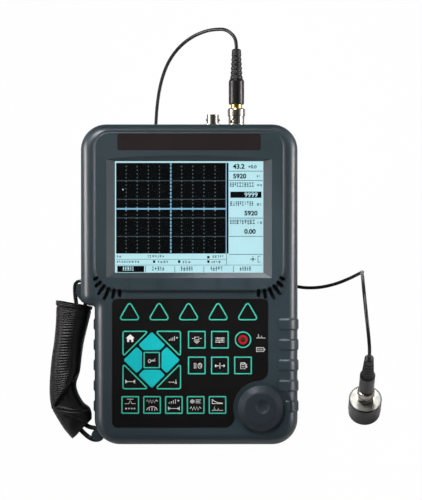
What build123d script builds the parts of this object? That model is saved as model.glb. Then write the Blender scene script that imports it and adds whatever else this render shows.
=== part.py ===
from build123d import *
import math
import os

# Ultrasonic flaw detector leaning on its kickstand, with its hand strap, lead and probe.
# The case is modelled lying flat: X across, Y up the face (u), Z out of the face (n), back at Z 0.
# It is then leaned back by FACE_SLOPE, so that it stands on its lower back edge and its kickstand.

# Case
HALF_W = 85.0           # half of the case's width
CASE_H = 251.0          # height of the case along its face
DECK_N = 57.5           # keypad deck above the back
FACE_N = 61.0           # raised screen head above the back
CORNER_R = 20.0         # corners seen from the front
EDGE_R = 8.5            # rounding between sides and deck
BACK_R = 5.0            # rounding between sides and back
WALL = 3.0              # side and back wall
FRONT_WALL = 4.0        # deck thickness
FACE_SLOPE = 35.0       # slope of the face when the unit leans on its stand

# Parting line and gasket
PART_N = 42.0           # height of the parting plane
GASKET_T = 1.2
GASKET_INSET = 0.5      # gasket set back from the outer surface
GASKET_W = 2.0

# Hand grip cut into the left side below the head
GRIP_X = 74.2           # left wall of the lower half
SHOULDER_U = 108.6      # underside of the left shoulder
SHOULDER_IN_R = 2.0     # inner corner under the shoulder
GRIP_TOP_U = 100.0      # start of the slot that opens under the shoulder

# Grip pads on both sides
PAD_COUNT = 5
PAD_PITCH = 16.0
PAD_FIRST_U = 30.2      # middle of the lowest pad
PAD_FLAT = 6.6          # flat length of a pad along u
PAD_RAMP = 1.9          # length of each sloped end
PAD_H = 0.85            # how far a pad stands out
PAD_SINK = 0.3          # how far the sloped ends run into the wall
PAD_FROM_N = 16.0
PAD_REACH = 14.0        # how far the right pads wrap onto the deck

# Raised screen head
HEAD_HALF_W = 75.3      # at deck level
HEAD_LOW_U = 119.4
HEAD_TOP_U = 246.0
HEAD_TOP_R = 13.0
HEAD_LOW_R = 20.3
HEAD_DRAFT = 27.0       # slope of the head's wall, degrees
HEAD_EDGE_R = 0.9

# Rib slots around the head's lower corners: angle from the corner centre, outer radius
FIN_WIDTH = 2.7
FIN_INNER_R = 18.2
FIN_DEPTH = 6.5
FIN_SLOTS = ((208, 22.0), (221, 24.0), (233.5, 27.2), (246, 28.2), (259, 25.4), (272, 23.6))
FIN_BACKING = 1.5       # material left behind the slots

# Screen
LCD_W = 116.0           # picture area
LCD_H = 87.1
LCD_U = 178.25          # middle of the picture
BEZEL_HALF_W = 64.6     # outer edge of the sloped bezel
BEZEL_LOW_U = 130.6
BEZEL_SIDE_U = 223.4    # bezel's top edge at its ends
BEZEL_CROWN_U = 226.3   # and in the middle
WINDOW_DEPTH = 3.0      # window face below the head
WINDOW_T = 2.0
WINDOW_LAP = 2.6        # window hidden behind the bezel on each side
WINDOW_GAP = 0.2
LCD_FRAME_W = 128.0
LCD_FRAME_H = 100.0
LCD_FRAME_T = 7.0
LCD_AIR = 0.3           # gap between window and display

# Nameplate strip
PLATE_W = 111.7
PLATE_H = 12.8
PLATE_U = 236.7
PLATE_R = 1.6
PLATE_T = 0.7
PLATE_SINK = 0.8
PLATE_GAP = 0.15

# Guide grooves between screen and soft keys
GROOVE_W = 0.6
GROOVE_PAIR = 2.2
GROOVE_DEEP = 0.4
GROOVE_LEN = 10.5       # from the foot of the head

# Keypad panel
PANEL_LEFT = -60.1
PANEL_RIGHT = 61.6
PANEL_LOW_U = 13.6
PANEL_TOP_U = 114.2
PANEL_R = 4.0
PANEL_T = 1.6
PANEL_SINK = 0.2        # panel face below the deck
PANEL_GAP = 0.15
PANEL_SWEEP_R = 21.3    # panel's hollow around the knob
PANEL_HORN_R = 8.0      # rounding where that hollow meets the panel's edges

# Keys
KEY_T = 1.4
KEY_PROUD = 0.4         # key face above the panel
KEY_GAP = 0.15
KEY_TRAVEL = 0.5
KEY_SPARE = 0.1         # left under a pressed key
KEY_CHAMFER = 0.2
SQUARE_KEY = 14.3
SQUARE_KEY_R = 1.4
SOFT_SIDE = 18.8
SOFT_R = 2.35
SOFT_LOW_U = 97.2
SOFT_FIRST_X = -46.5
SOFT_PITCH = 23.05
CROSS_X = -29.2
CROSS_U = 66.4
CROSS_REACH = 22.0      # middle of the cross to an arrow's tip
CROSS_HUB = 13.3        # square in the middle
CROSS_HUB_GAP = 1.05
CROSS_SLIT = 1.4        # offset of an arrow's side from the diagonal
CROSS_OUTER = 23.1      # half of the square that the corner keys fill
CROSS_BAND = 24.3       # start of the corner keys, as |x| + |u|
ARROW_R = 1.2
CORNER_KEY_R = 1.6
RIGHT_FIRST_X = 6.0
RIGHT_PITCH = 18.05
RIGHT_TOP_U = 82.3
RIGHT_LOW_U = 62.2
POWER_R = 6.7
ROW_FIRST_X = -46.0
ROW_PITCH = 17.04
ROW_U = 31.3

# Knob and encoder
KNOB_X = 55.8
KNOB_U = 28.8
KNOB_R = 17.5
KNOB_TOP_R = 12.3
KNOB_H = 8.0
KNOB_SIDE_H = 3.6
KNOB_LIFT = 0.5         # underside above the deck
DIMPLE_R = 5.5
DIMPLE_DEEP = 1.3
DIMPLE_SHIFT = 1.5
DISH_R = 20.3
DISH_DEEP = 0.6
LIP_R = 24.3
LIP_W = 1.5
LIP_H = 0.8
LIP_FROM = -8.0
LIP_TO = 62.0
SHAFT_R = 3.0
SHAFT_GAP = 0.05
SHAFT_IN_KNOB = 5.5
ENCODER_SIDE = 13.0
ENCODER_T = 7.0
BUSHING_R = 4.5
BUSHING_GAP = 0.1

# Sockets on the top face
SOCKET_N = 25.0
SOCKET_X = (18.6, 37.3)
SOCKET_R = 4.8
SOCKET_H = 8.9
SOCKET_BORE_R = 4.05
SOCKET_BORE_DEEP = 5.5
SOCKET_FLANGE_R = 6.7
SOCKET_FLANGE_T = 1.3
SOCKET_TAIL = 11.0
SOCKET_NUT_R = 6.5
SOCKET_NUT_T = 2.0
SOCKET_GAP = 0.05
LUG_R = 0.95
LUG_REACH = 5.5
LUG_H = 4.5
INSULATOR_R = 2.4
INSULATOR_GAP = 0.02
INSULATOR_BELOW_MOUTH = 1.1
CONTACT_R = 0.7
CONTACT_DEEP = 4.0

# Lead plug, measured from the face its socket sits on
NUT_FROM = 1.7
NUT_SKIRT_R = 6.3
NUT_SKIRT_TO = 7.4
NUT_R = 6.95
NUT_TO = 14.0
NUT_BORE_R = 5.65
NUT_WEB_FROM = 10.6
NUT_EDGE_R = 1.4
NUT_SLOT_W = 2.4        # slanting slots that take the socket's lugs
NUT_SLOT_TURN = 35.0    # degrees
NUT_SLOT_STEPS = 4
NUT_SLOT_RISE = 1.4
NUT_SLOT_LEAN = 14.0    # degrees for each step up
NUT_GAP = 0.08
SLEEVE_R = 3.95
SLEEVE_BORE_R = 2.6
SLEEVE_FROM = 4.2
COLLAR_FROM = 9.2
COLLAR_TO = 10.3
COLLAR_R = 5.3
NECK_R = 4.4
NECK_IN = 4.0
BARREL_FROM = 16.8
BARREL_R = 6.15
BARREL_TO = 37.6
BARREL_CHAMFER = 0.7
BARREL_SHOULDER = 2.2
BOOT_R = 4.95
BOOT_TIP_R = 3.65
BOOT_LEN = 23.4
BOOT_RIBS = 5
BOOT_GROOVE = 0.55
BOOT_FIT = 0.02

# Kickstand
HINGE_U = 152.0
HINGE_N = 6.0
STAND_HALF_W = 44.0
STAND_TIP_HALF_W = 38.0
STAND_T = 4.0
STAND_OFFSET = 3.4      # plate's middle to the hinge axis
STAND_BARREL_R = 3.5
STAND_NECK = 6.0
STAND_OPEN = 67.0       # degrees from folded to its stop
STAND_SIDE_GAP = 0.6
TRUNNION_R = 2.5
TRUNNION_LEN = 2.8
TRUNNION_GAP = 0.05
TRUNNION_END_GAP = 0.4
STAND_BAY_LOW_U = 58.5
STAND_BAY_FLOOR = 5.2
HINGE_BAY_FLOOR = 10.2
HINGE_BAY_UP = 3.9
HINGE_BAY_DOWN = 8.0
BAY_WALL = 2.5
STAND_RIB_H = 0.8       # ribs between sunk panels on its outer side
STAND_RIB_W = 6.0
STAND_PANEL_W = 16.0
STAND_RIM = 9.0

# Battery bay and door
DOOR_HALF_W = 62.0
DOOR_LOW_U = 8.0
DOOR_TOP_U = 54.0
DOOR_T = 2.2
DOOR_GAP = 0.2
DOOR_R = 3.0
DOOR_SCREW_X = 56.5
DOOR_POST_TOP = 13.0
DOOR_GRIP_COUNT = 7     # grooves for a thumb
DOOR_GRIP_W = 1.5
DOOR_GRIP_LEN = 8.0
DOOR_GRIP_DEEP = 0.5
DOOR_GRIP_INSET = 5.0
BAY_HALF_W = 51.0
BAY_EDGE = 3.0          # ledge that carries the door
BAY_TOP_N = 24.0
BAY_SKIN = 2.0
PACK_GAP = 0.5
PACK_R = 2.0

# Screws
SCREW_R = 1.5
SCREW_HEAD_R = 2.8
SCREW_HEAD_H = 2.0
SCREW_SLOT_W = 0.6
SCREW_SLOT_DEEP = 0.7
SCREW_SINK = 6.0        # case screw heads' seat above the back
SCREW_CLEAR = 0.2
THREAD_GAP = 0.02
CASE_SCREW_LEN = 42.0
DOOR_SCREW_LEN = 8.0
POST_R = 4.6
CASE_SCREWS = ((-75.0, 241.0), (75.0, 241.0), (-74.0, 141.0), (75.0, 132.0), (-62.0, 64.0), (75.0, 64.0))

# Main board
BOARD_HALF_W = 66.0
BOARD_LOW_U = 70.0
BOARD_TOP_U = 222.0
BOARD_T = 1.6
BOARD_N = 34.0
BOARD_POST_R = 3.2
BOARD_POST_INSET = 8.0
CHIP_H = 3.0
CHIPS = (               # middle x and u, width and height
    (-30, 180, 28, 28),
    (22, 186, 20, 20),
    (-36, 120, 22, 16),
    (24, 126, 34, 22),
    (30, 206, 30, 12),
)

# Strap and its two bars
STRAP_N = 26.0
WEB_W = 24.0
WEB_T = 2.4
WEB_SLACK = 1.0         # webbing above its upper bar
BAR_TOP_U = 125.6
BAR_OUT_X = 89.2
BAR_IN_X = 84.3
LUG_LOW_U = 111.0
LUG_BACK_N = 9.0
SLOT_W = 4.0
SLOT_SIDE_GAP = 0.5
SLOT_MOUTH_TOP_U = 130.8
LOW_BAR = (-72.5, 6.5)
LOW_BAR_R = 2.2
LOW_CHEEK_R = 4.6
LOW_NOTCH_R = 8.2
LOW_BOSS_R = 10.6
SLEEVE_WALL = 2.0
SLEEVE_DEPTH = 31.0
SLEEVE_ROUND = 7.0
# Sleeve sections: centre x, centre u, width, angle of the section line
SLEEVE_CUTS = (
    (-92.0, 108.6, 27.4, -8.5),
    (-93.6, 93.0, 25.8, -5.0),
    (-96.5, 75.5, 23.6, -4.0),
    (-98.2, 60.4, 24.6, -4.0),
    (-100.3, 45.3, 22.4, 2.0),
    (-98.0, 30.5, 23.8, 21.0),
    (-92.4, 19.6, 24.4, 36.0),
    (-85.9, 10.0, 22.0, 44.5),
)

# Probe on the table
PROBE_X = 141.0
PROBE_Y = 25.0
PROBE_R = 13.2
PROBE_H = 20.0
SOLE_H = 5.0
SOLE_R = 12.8
CAP_R = 11.9
CAP_T = 1.0
CAP_SINK = 1.2
PROBE_EDGE = 0.5

# Lead
LEAD_D = 2.8
COIL_X = -10.5
COIL_Y = 205.0
COIL_R = 15.5           # middle of the turns
COIL_BUNDLE_R = 5.1     # radius of the bundle of turns
COIL_Z = 6.4
TIE_T = 0.8
TIE_W = 5.0
TIE_ANGLE = 60.0
TIE_GAP = 0.3

# The leaned case rests on its rounded lower back edge, so it drops a little below its own corner.
COS_L = math.cos(math.radians(FACE_SLOPE))
SIN_L = math.sin(math.radians(FACE_SLOPE))
LIFT = BACK_R - BACK_R * (COS_L + SIN_L)
LEAN = Location((0, 0, LIFT), (FACE_SLOPE, 0, 0))

# Lead from the plug on the case to the coil, on the table's axes, after its first run along the plug.
UPPER_ROUTE = (
    (34.8, 251.0, 203.1),
    (28.8, 256.4, 203.7),
    (20.9, 259.8, 199.6),
    (13.4, 262.6, 194.4),
    (4.0, 264.7, 186.2),
    (-4.8, 265.8, 175.6),
    (-12.0, 266.4, 163.4),
    (-17.8, 266.3, 150.0),
    (-21.9, 266.0, 135.3),
    (-24.9, 265.7, 119.6),
    (-27.0, 265.0, 103.2),
    (-28.4, 264.1, 86.3),
    (-29.3, 262.3, 69.0),
    (-29.5, 258.8, 52.2),
    (-29.3, 252.8, 36.6),
    (-28.8, 243.6, 23.0),
    (-28.5, 231.6, 12.4),
    (-28.6, 221.6, 7.8),
    (-28.7, 214.2, 5.6),
)

# Lead from the coil over the table and up to the plug on the probe, before its last run down the plug.
LOWER_ROUTE = (
    (-2.6, 186.0, 5.6),
    (7.0, 186.2, 4.6),
    (24.0, 183.9, 2.2),
    (40.5, 176.6, 1.4),
    (56.0, 165.6, 1.4),
    (72.0, 154.0, 1.4),
    (89.0, 145.4, 1.4),
    (106.5, 144.9, 1.4),
    (121.0, 148.6, 1.7),
    (131.5, 151.0, 5.6),
    (139.0, 150.6, 13.0),
    (142.6, 147.0, 22.2),
    (141.8, 138.0, 34.8),
    (140.4, 126.4, 51.4),
    (139.0, 113.4, 68.6),
    (137.9, 99.8, 86.6),
    (137.0, 86.2, 101.4),
    (136.6, 71.6, 111.2),
    (137.0, 56.2, 114.8),
    (138.0, 42.0, 112.0),
    (139.6, 31.4, 103.2),
)
CASE_EXIT_RUN = 5.7     # straight stretch out of the plug on the case
PROBE_EXIT_RUN = 9.0    # straight stretch out of the plug on the probe


def block(x0, x1, u0, u1, n0, n1):
    """Box between two opposite corners."""
    middle = ((x0 + x1) / 2, (u0 + u1) / 2, (n0 + n1) / 2)
    return Pos(*middle) * Box(x1 - x0, u1 - u0, n1 - n0)


def half_space(n0, n1):
    """Slab wider than the case between two heights, to cut it with."""
    return block(-2 * HALF_W, 2 * HALF_W, -CASE_H, 2 * CASE_H, n0, n1)


def disc(x, u, n0, n1, radius):
    """Cylinder standing on the back, between two heights."""
    return Pos(x, u, (n0 + n1) / 2) * Cylinder(radius, n1 - n0)


def slab(sketch, n0, n1):
    """Flat outline made into a plate between two heights."""
    return extrude(Pos(0, 0, n0) * sketch, amount=n1 - n0)


def rounded(points, radii):
    """Closed outline with a rounding at each corner."""
    return make_face(FilletPolyline(*points, radius=radii, close=True))


def corner_radii(vectors):
    """Largest rounding that each inner corner of a row of points has room for."""
    radii = []
    for before, here, after in zip(vectors, vectors[1:], vectors[2:]):
        shorter = min((here - before).length, (after - here).length)
        turn = math.radians((here - before).get_angle(after - here))
        radii.append(0.45 * shorter / math.tan(turn / 2))
    return radii


def turned(profile):
    """Solid of revolution about Z from a closed profile given as (radius, height) points."""
    flat = make_face(Polyline(*[(radius, 0, height) for radius, height in profile], close=True))
    return revolve(flat, Axis.Z)


# Outline of the case, seen from the front.
def case_outline():
    corners = (
        (-GRIP_X, 0),
        (HALF_W, 0),
        (HALF_W, CASE_H),
        (-HALF_W, CASE_H),
        (-HALF_W, SHOULDER_U),
        (-GRIP_X, SHOULDER_U),
    )
    radii = [CORNER_R, CORNER_R, CORNER_R, CORNER_R, EDGE_R + 0.1, SHOULDER_IN_R]
    return rounded(corners, radii)


# Grip pads: flat in the middle, ramped at both ends.
def right_pad_section(height, u):
    low_n = PAD_FROM_N - height
    points = (
        (HALF_W - PAD_REACH - height, low_n),
        (HALF_W + height, low_n),
        (HALF_W + height, DECK_N + height),
        (HALF_W - PAD_REACH - height, DECK_N + height),
    )
    plane = Plane(origin=(0, u, 0), x_dir=(1, 0, 0), z_dir=(0, -1, 0))
    return plane * rounded(points, [0, 0, EDGE_R + height, 0])


def left_pad_section(height, u):
    low_n = PAD_FROM_N - height
    top_n = DECK_N - EDGE_R + height
    points = (
        (-GRIP_X - height, low_n),
        (-GRIP_X - height, top_n),
        (WALL - GRIP_X, top_n),
        (WALL - GRIP_X, low_n),
    )
    plane = Plane(origin=(0, u, 0), x_dir=(1, 0, 0), z_dir=(0, -1, 0))
    return plane * make_face(Polyline(*points, close=True))


def grip_pads():
    pads = []
    for index in range(PAD_COUNT):
        middle = PAD_FIRST_U + index * PAD_PITCH
        for section in (right_pad_section, left_pad_section):
            flat = PAD_FLAT / 2
            sections = (
                section(-PAD_SINK, middle - flat - PAD_RAMP),
                section(PAD_H, middle - flat),
                section(PAD_H, middle + flat),
                section(-PAD_SINK, middle + flat + PAD_RAMP),
            )
            pads.append(loft(sections, ruled=True))
    return pads


def head_block():
    corners = (
        (-HEAD_HALF_W, HEAD_LOW_U),
        (HEAD_HALF_W, HEAD_LOW_U),
        (HEAD_HALF_W, HEAD_TOP_U),
        (-HEAD_HALF_W, HEAD_TOP_U),
    )
    outline = rounded(corners, [HEAD_LOW_R, HEAD_LOW_R, HEAD_TOP_R, HEAD_TOP_R])
    foot = slab(outline, DECK_N - EDGE_R / 2, DECK_N)
    top = extrude(Pos(0, 0, DECK_N) * outline, amount=FACE_N - DECK_N, taper=HEAD_DRAFT)
    head = foot + top
    return fillet(head.edges().group_by(Axis.Z)[-1], HEAD_EDGE_R)


def lug_outline():
    """Ear at the left shoulder that carries the upper end of the strap."""
    points = (
        (-BAR_IN_X + SLOT_W + WALL, BAR_TOP_U),
        (-BAR_OUT_X, BAR_TOP_U),
        (-BAR_OUT_X, LUG_LOW_U + 6.0),
        (-BAR_IN_X, LUG_LOW_U),
        (-BAR_IN_X + SLOT_W + WALL, LUG_LOW_U),
    )
    return rounded(points, [0, 2.0, 3.0, 1.5, 0])


def outer_body():
    """Outside of the whole case, filled."""
    body = slab(case_outline(), 0, DECK_N)
    body = fillet(body.edges().group_by(Axis.Z)[-1], EDGE_R)
    body = fillet(body.edges().group_by(Axis.Z)[0], BACK_R)
    body = body + grip_pads()
    return body + head_block()


def fin_slots():
    """Radial slots between ribs around both lower corners of the head."""
    centre_x = HEAD_HALF_W - HEAD_LOW_R
    centre_u = HEAD_LOW_U + HEAD_LOW_R
    cuts = []
    for angle, outer_r in FIN_SLOTS:
        length = outer_r - FIN_INNER_R
        shape = Pos((outer_r + FIN_INNER_R) / 2, 0) * SlotOverall(length + FIN_WIDTH / 2, FIN_WIDTH)
        left = Pos(-centre_x, centre_u) * Rot(0, 0, angle) * shape
        right = Pos(centre_x, centre_u) * Rot(0, 0, 180 - angle) * shape
        for slot in (left, right):
            cuts.append(slab(slot, DECK_N - FIN_DEPTH, FACE_N + 1))
    return cuts


def fin_backing():
    """Thicker deck behind the slots."""
    low_n = DECK_N - FIN_DEPTH - FIN_BACKING
    centre_x = HEAD_HALF_W - HEAD_LOW_R
    centre_u = HEAD_LOW_U + HEAD_LOW_R
    reach = max(outer_r for _, outer_r in FIN_SLOTS) + FIN_BACKING
    inside = slab(inner_outline, PART_N, DECK_N - FRONT_WALL / 2)
    screen_side = centre_x - BEZEL_HALF_W
    backing = []
    for side in (-1, 1):
        ring = Circle(reach) - Circle(FIN_INNER_R - FIN_BACKING)
        quarter = ring & Pos(side * reach / 2, -reach / 2) * Rectangle(reach - 2 * screen_side, reach)
        backing.append(slab(Pos(side * centre_x, centre_u) * quarter, low_n, DECK_N) & inside)
    return backing


# Screen window opening, with its sloped bezel.
def bezel_cut():
    low_n = FACE_N - WINDOW_DEPTH
    half_w = LCD_W / 2
    half_h = LCD_H / 2
    small = Pos(0, LCD_U, low_n) * Rectangle(LCD_W, LCD_H)
    sides = Polyline(
        (-BEZEL_HALF_W, BEZEL_SIDE_U),
        (-BEZEL_HALF_W, BEZEL_LOW_U),
        (BEZEL_HALF_W, BEZEL_LOW_U),
        (BEZEL_HALF_W, BEZEL_SIDE_U),
    )
    crown = ThreePointArc(
        (BEZEL_HALF_W, BEZEL_SIDE_U),
        (0, BEZEL_CROWN_U),
        (-BEZEL_HALF_W, BEZEL_SIDE_U),
    )
    large = Pos(0, 0, FACE_N) * make_face([sides.edges(), crown.edges()])
    slope = loft([small, large], ruled=True)
    opening = block(-half_w, half_w, LCD_U - half_h, LCD_U + half_h, low_n - 1, low_n)
    seat_w = half_w + WINDOW_LAP
    seat_h = half_h + WINDOW_LAP
    seat = block(-seat_w, seat_w, LCD_U - seat_h, LCD_U + seat_h, DECK_N - EDGE_R, low_n)
    return [slope, opening, seat]


# Keys, each as an outline on the deck.
def square_key(x, u):
    return Pos(x, u) * RectangleRounded(SQUARE_KEY, SQUARE_KEY, SQUARE_KEY_R)


def soft_key(x):
    apex = SOFT_LOW_U + SOFT_SIDE * math.sqrt(3) / 2
    points = ((x - SOFT_SIDE / 2, SOFT_LOW_U), (x + SOFT_SIDE / 2, SOFT_LOW_U), (x, apex))
    return rounded(points, [SOFT_R] * 3)


def arrow_key(turn):
    low = CROSS_HUB / 2 + CROSS_HUB_GAP
    shoulder = (CROSS_REACH - CROSS_SLIT) / 2
    points = (
        (0, CROSS_REACH),
        (-shoulder, shoulder + CROSS_SLIT),
        (CROSS_SLIT - low, low),
        (low - CROSS_SLIT, low),
        (shoulder, shoulder + CROSS_SLIT),
    )
    return Pos(CROSS_X, CROSS_U) * Rot(0, 0, turn) * rounded(points, [ARROW_R] * 5)


def corner_key(turn):
    tip = CROSS_BAND - CROSS_OUTER
    points = ((-CROSS_OUTER, CROSS_OUTER), (-CROSS_OUTER, tip), (-tip, CROSS_OUTER))
    return Pos(CROSS_X, CROSS_U) * Rot(0, 0, turn) * rounded(points, [CORNER_KEY_R] * 3)


def key_outlines():
    keys = {}
    for index in range(5):
        keys[f"soft_key_{index + 1}"] = soft_key(SOFT_FIRST_X + index * SOFT_PITCH)
    for index, name in enumerate(("up", "left", "down", "right")):
        keys[f"arrow_key_{name}"] = arrow_key(90 * index)
    for index, name in enumerate(("upper_left", "lower_left", "lower_right", "upper_right")):
        keys[f"corner_key_{name}"] = corner_key(90 * index)
    keys["centre_key"] = Pos(CROSS_X, CROSS_U) * RectangleRounded(CROSS_HUB, CROSS_HUB, SQUARE_KEY_R)
    for index in range(2):
        keys[f"upper_key_{index + 1}"] = square_key(RIGHT_FIRST_X + index * RIGHT_PITCH, RIGHT_TOP_U)
    for index in range(3):
        keys[f"middle_key_{index + 1}"] = square_key(RIGHT_FIRST_X + index * RIGHT_PITCH, RIGHT_LOW_U)
    for index in range(5):
        keys[f"lower_key_{index + 1}"] = square_key(ROW_FIRST_X + index * ROW_PITCH, ROW_U)
    keys["power_key"] = Pos(RIGHT_FIRST_X + 2 * RIGHT_PITCH, RIGHT_TOP_U) * Circle(POWER_R)
    return keys


def panel_outline(gap):
    """Keypad panel, grown by a gap for the pocket it lies in."""
    width = PANEL_RIGHT - PANEL_LEFT + 2 * gap
    height = PANEL_TOP_U - PANEL_LOW_U + 2 * gap
    middle = ((PANEL_LEFT + PANEL_RIGHT) / 2, (PANEL_LOW_U + PANEL_TOP_U) / 2)
    plate = Pos(*middle) * RectangleRounded(width, height, PANEL_R + gap)
    sweep_r = PANEL_SWEEP_R - gap
    plate = plate - Pos(KNOB_X, KNOB_U) * Circle(sweep_r)
    horns = []
    for corner in plate.vertices():
        if abs(math.hypot(corner.X - KNOB_X, corner.Y - KNOB_U) - sweep_r) < 0.01:
            horns.append(corner)
    return fillet(horns, PANEL_HORN_R)


panel_low_n = DECK_N - PANEL_SINK - PANEL_T
panel_top_n = DECK_N - PANEL_SINK
key_top_n = panel_top_n + KEY_PROUD
key_low_n = key_top_n - KEY_T
pocket_n = min(panel_low_n, key_low_n - KEY_TRAVEL - KEY_SPARE)
key_sketches = key_outlines()
cavity_top_n = DECK_N - FRONT_WALL
screw_tip_n = SCREW_SINK + CASE_SCREW_LEN
rim_low_n = PART_N - GASKET_T / 2
rim_high_n = PART_N + GASKET_T / 2
door_u = (DOOR_LOW_U + DOOR_TOP_U) / 2
door_seat_n = DOOR_T + DOOR_GAP
inner_outline = offset(case_outline(), amount=-WALL)


def front_shell():
    shell = outer_body() - half_space(rim_low_n - CASE_H, rim_high_n)
    shell = shell - slab(inner_outline, PART_N, cavity_top_n)
    shell = shell + fin_backing()
    for x, u in CASE_SCREWS:
        shell = shell + disc(x, u, rim_high_n, cavity_top_n, POST_R)
    shell = shell - fin_slots()
    shell = shell - bezel_cut()
    plate_seat = RectangleRounded(PLATE_W + 2 * PLATE_GAP, PLATE_H + 2 * PLATE_GAP, PLATE_R)
    shell = shell - slab(Pos(0, PLATE_U) * plate_seat, FACE_N - PLATE_SINK, FACE_N + PLATE_SINK)
    shell = shell - slab(panel_outline(PANEL_GAP), panel_low_n, FACE_N)
    shell = shell - [slab(offset(key, amount=KEY_GAP), pocket_n, FACE_N) for key in key_sketches.values()]
    shell = shell - disc(KNOB_X, KNOB_U, DECK_N - DISH_DEEP, FACE_N, DISH_R)
    shell = shell + knob_lip()
    shell = shell - disc(KNOB_X, KNOB_U, PART_N, DECK_N, BUSHING_R + BUSHING_GAP)
    shell = shell - guide_grooves()
    for x, u in CASE_SCREWS:
        shell = shell - disc(x, u, PART_N, screw_tip_n + SCREW_CLEAR, SCREW_R + THREAD_GAP)
    return shell


def guide_grooves():
    """Pairs of shallow grooves that lead from the soft keys to the screen."""
    cuts = []
    for index in range(5):
        for side in (-GROOVE_PAIR / 2, GROOVE_PAIR / 2):
            x = SOFT_FIRST_X + index * SOFT_PITCH + side
            groove = Pos(x, HEAD_LOW_U + GROOVE_LEN / 2) * Rectangle(GROOVE_W, GROOVE_LEN)
            cuts.append(slab(groove, FACE_N - GROOVE_DEEP, FACE_N + GROOVE_DEEP))
    return cuts


def knob_lip():
    ring = Circle(LIP_R + LIP_W / 2) - Circle(LIP_R - LIP_W / 2)
    reach = 2 * LIP_R
    corners = [(0, 0)]
    for angle in (LIP_FROM, (LIP_FROM + LIP_TO) / 2, LIP_TO):
        corners.append((reach * math.cos(math.radians(angle)), reach * math.sin(math.radians(angle))))
    wedge = make_face(Polyline(*corners, close=True))
    return slab(Pos(KNOB_X, KNOB_U) * (ring & wedge), DECK_N - 1, DECK_N + LIP_H)


def foot_distance():
    """Length of the leg that brings its rounded foot down to the table."""
    hinge_z = HINGE_U * SIN_L + HINGE_N * COS_L + LIFT
    lean = math.radians(STAND_OPEN + FACE_SLOPE - 90)
    drop = math.cos(lean)
    side = math.sin(lean)
    return (hinge_z + STAND_OFFSET * side - STAND_T / 2) / drop


def across_hinge(radius, half_length):
    """Cylinder along the kickstand's hinge axis."""
    return Pos(0, HINGE_U, HINGE_N) * Rot(0, 90, 0) * Cylinder(radius, 2 * half_length)


def kickstand():
    length = foot_distance()
    outer = STAND_OFFSET + STAND_T / 2
    inner = STAND_OFFSET - STAND_T / 2
    side_view = (
        (HINGE_U, HINGE_N - STAND_BARREL_R),
        (HINGE_U - STAND_NECK, HINGE_N - outer),
        (HINGE_U - length, HINGE_N - outer),
        (HINGE_U - length, HINGE_N - inner),
        (HINGE_U, HINGE_N - inner),
    )
    plane = Plane(origin=(-STAND_HALF_W, 0, 0), x_dir=(0, 1, 0), z_dir=(1, 0, 0))
    plate = extrude(plane * make_face(Polyline(*side_view, close=True)), amount=2 * STAND_HALF_W)
    foot_place = Pos(0, HINGE_U - length, HINGE_N - STAND_OFFSET) * Rot(0, 90, 0)
    foot = foot_place * Cylinder(STAND_T / 2, 2 * STAND_HALF_W)
    low_u = HINGE_U - length - STAND_T
    front_view = (
        (-STAND_HALF_W, HINGE_U + STAND_BARREL_R),
        (-STAND_HALF_W, HINGE_U - 3 * STAND_NECK),
        (-STAND_TIP_HALF_W, low_u),
        (STAND_TIP_HALF_W, low_u),
        (STAND_HALF_W, HINGE_U - 3 * STAND_NECK),
        (STAND_HALF_W, HINGE_U + STAND_BARREL_R),
    )
    trim = slab(make_face(Polyline(*front_view, close=True)), HINGE_N - 2 * outer, HINGE_N + 2 * outer)
    barrel = across_hinge(STAND_BARREL_R, STAND_HALF_W)
    stand = (plate + foot + barrel) & trim
    panel_low_u = HINGE_U - length + STAND_RIM
    panel_top_u = HINGE_U - 3 * STAND_NECK
    for index in (-1, 0, 1):
        x = index * (STAND_PANEL_W + STAND_RIB_W)
        half = STAND_PANEL_W / 2
        sunk_n = HINGE_N - outer + STAND_RIB_H
        stand = stand - block(x - half, x + half, panel_low_u, panel_top_u, HINGE_N - 2 * outer, sunk_n)
    stand = stand + across_hinge(TRUNNION_R, STAND_HALF_W + TRUNNION_LEN)
    hinge = Pos(0, HINGE_U, HINGE_N)
    return hinge * Rot(STAND_OPEN, 0, 0) * hinge.inverse() * stand


def strap_ears(shell):
    """Ear at the shoulder and bar at the lower corner, both for the strap."""
    low_n = STRAP_N - WEB_W / 2 - SLOT_SIDE_GAP
    top_n = STRAP_N + WEB_W / 2 + SLOT_SIDE_GAP
    slot_in_x = -BAR_IN_X + SLOT_W
    lining = block(-HALF_W, slot_in_x + WALL, SHOULDER_U, SLOT_MOUTH_TOP_U + WALL, WALL, rim_low_n)
    shell = shell + slab(lug_outline(), LUG_BACK_N, rim_low_n)
    shell = shell + (lining & slab(case_outline(), WALL, rim_low_n))
    shell = shell - block(-BAR_IN_X, slot_in_x, GRIP_TOP_U, SLOT_MOUTH_TOP_U, low_n, top_n)
    shell = shell - block(-2 * HALF_W, slot_in_x, BAR_TOP_U, SLOT_MOUTH_TOP_U, low_n, top_n)
    x, u = LOW_BAR
    shell = shell + (disc(x, u, WALL, rim_low_n, LOW_BOSS_R) & slab(case_outline(), WALL, rim_low_n))
    shell = shell - disc(x, u, low_n, top_n, LOW_NOTCH_R)
    shell = shell + disc(x, u, low_n - WALL, low_n, LOW_CHEEK_R)
    shell = shell + disc(x, u, top_n, rim_low_n, LOW_CHEEK_R)
    return shell + disc(x, u, low_n, top_n, LOW_BAR_R)


def board_posts():
    posts = []
    for x in (-BOARD_HALF_W + BOARD_POST_INSET, BOARD_HALF_W - BOARD_POST_INSET):
        for u in (BOARD_LOW_U + BOARD_POST_INSET, BOARD_TOP_U - BOARD_POST_INSET):
            posts.append(disc(x, u, WALL / 2, BOARD_N, BOARD_POST_R))
    return posts


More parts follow.
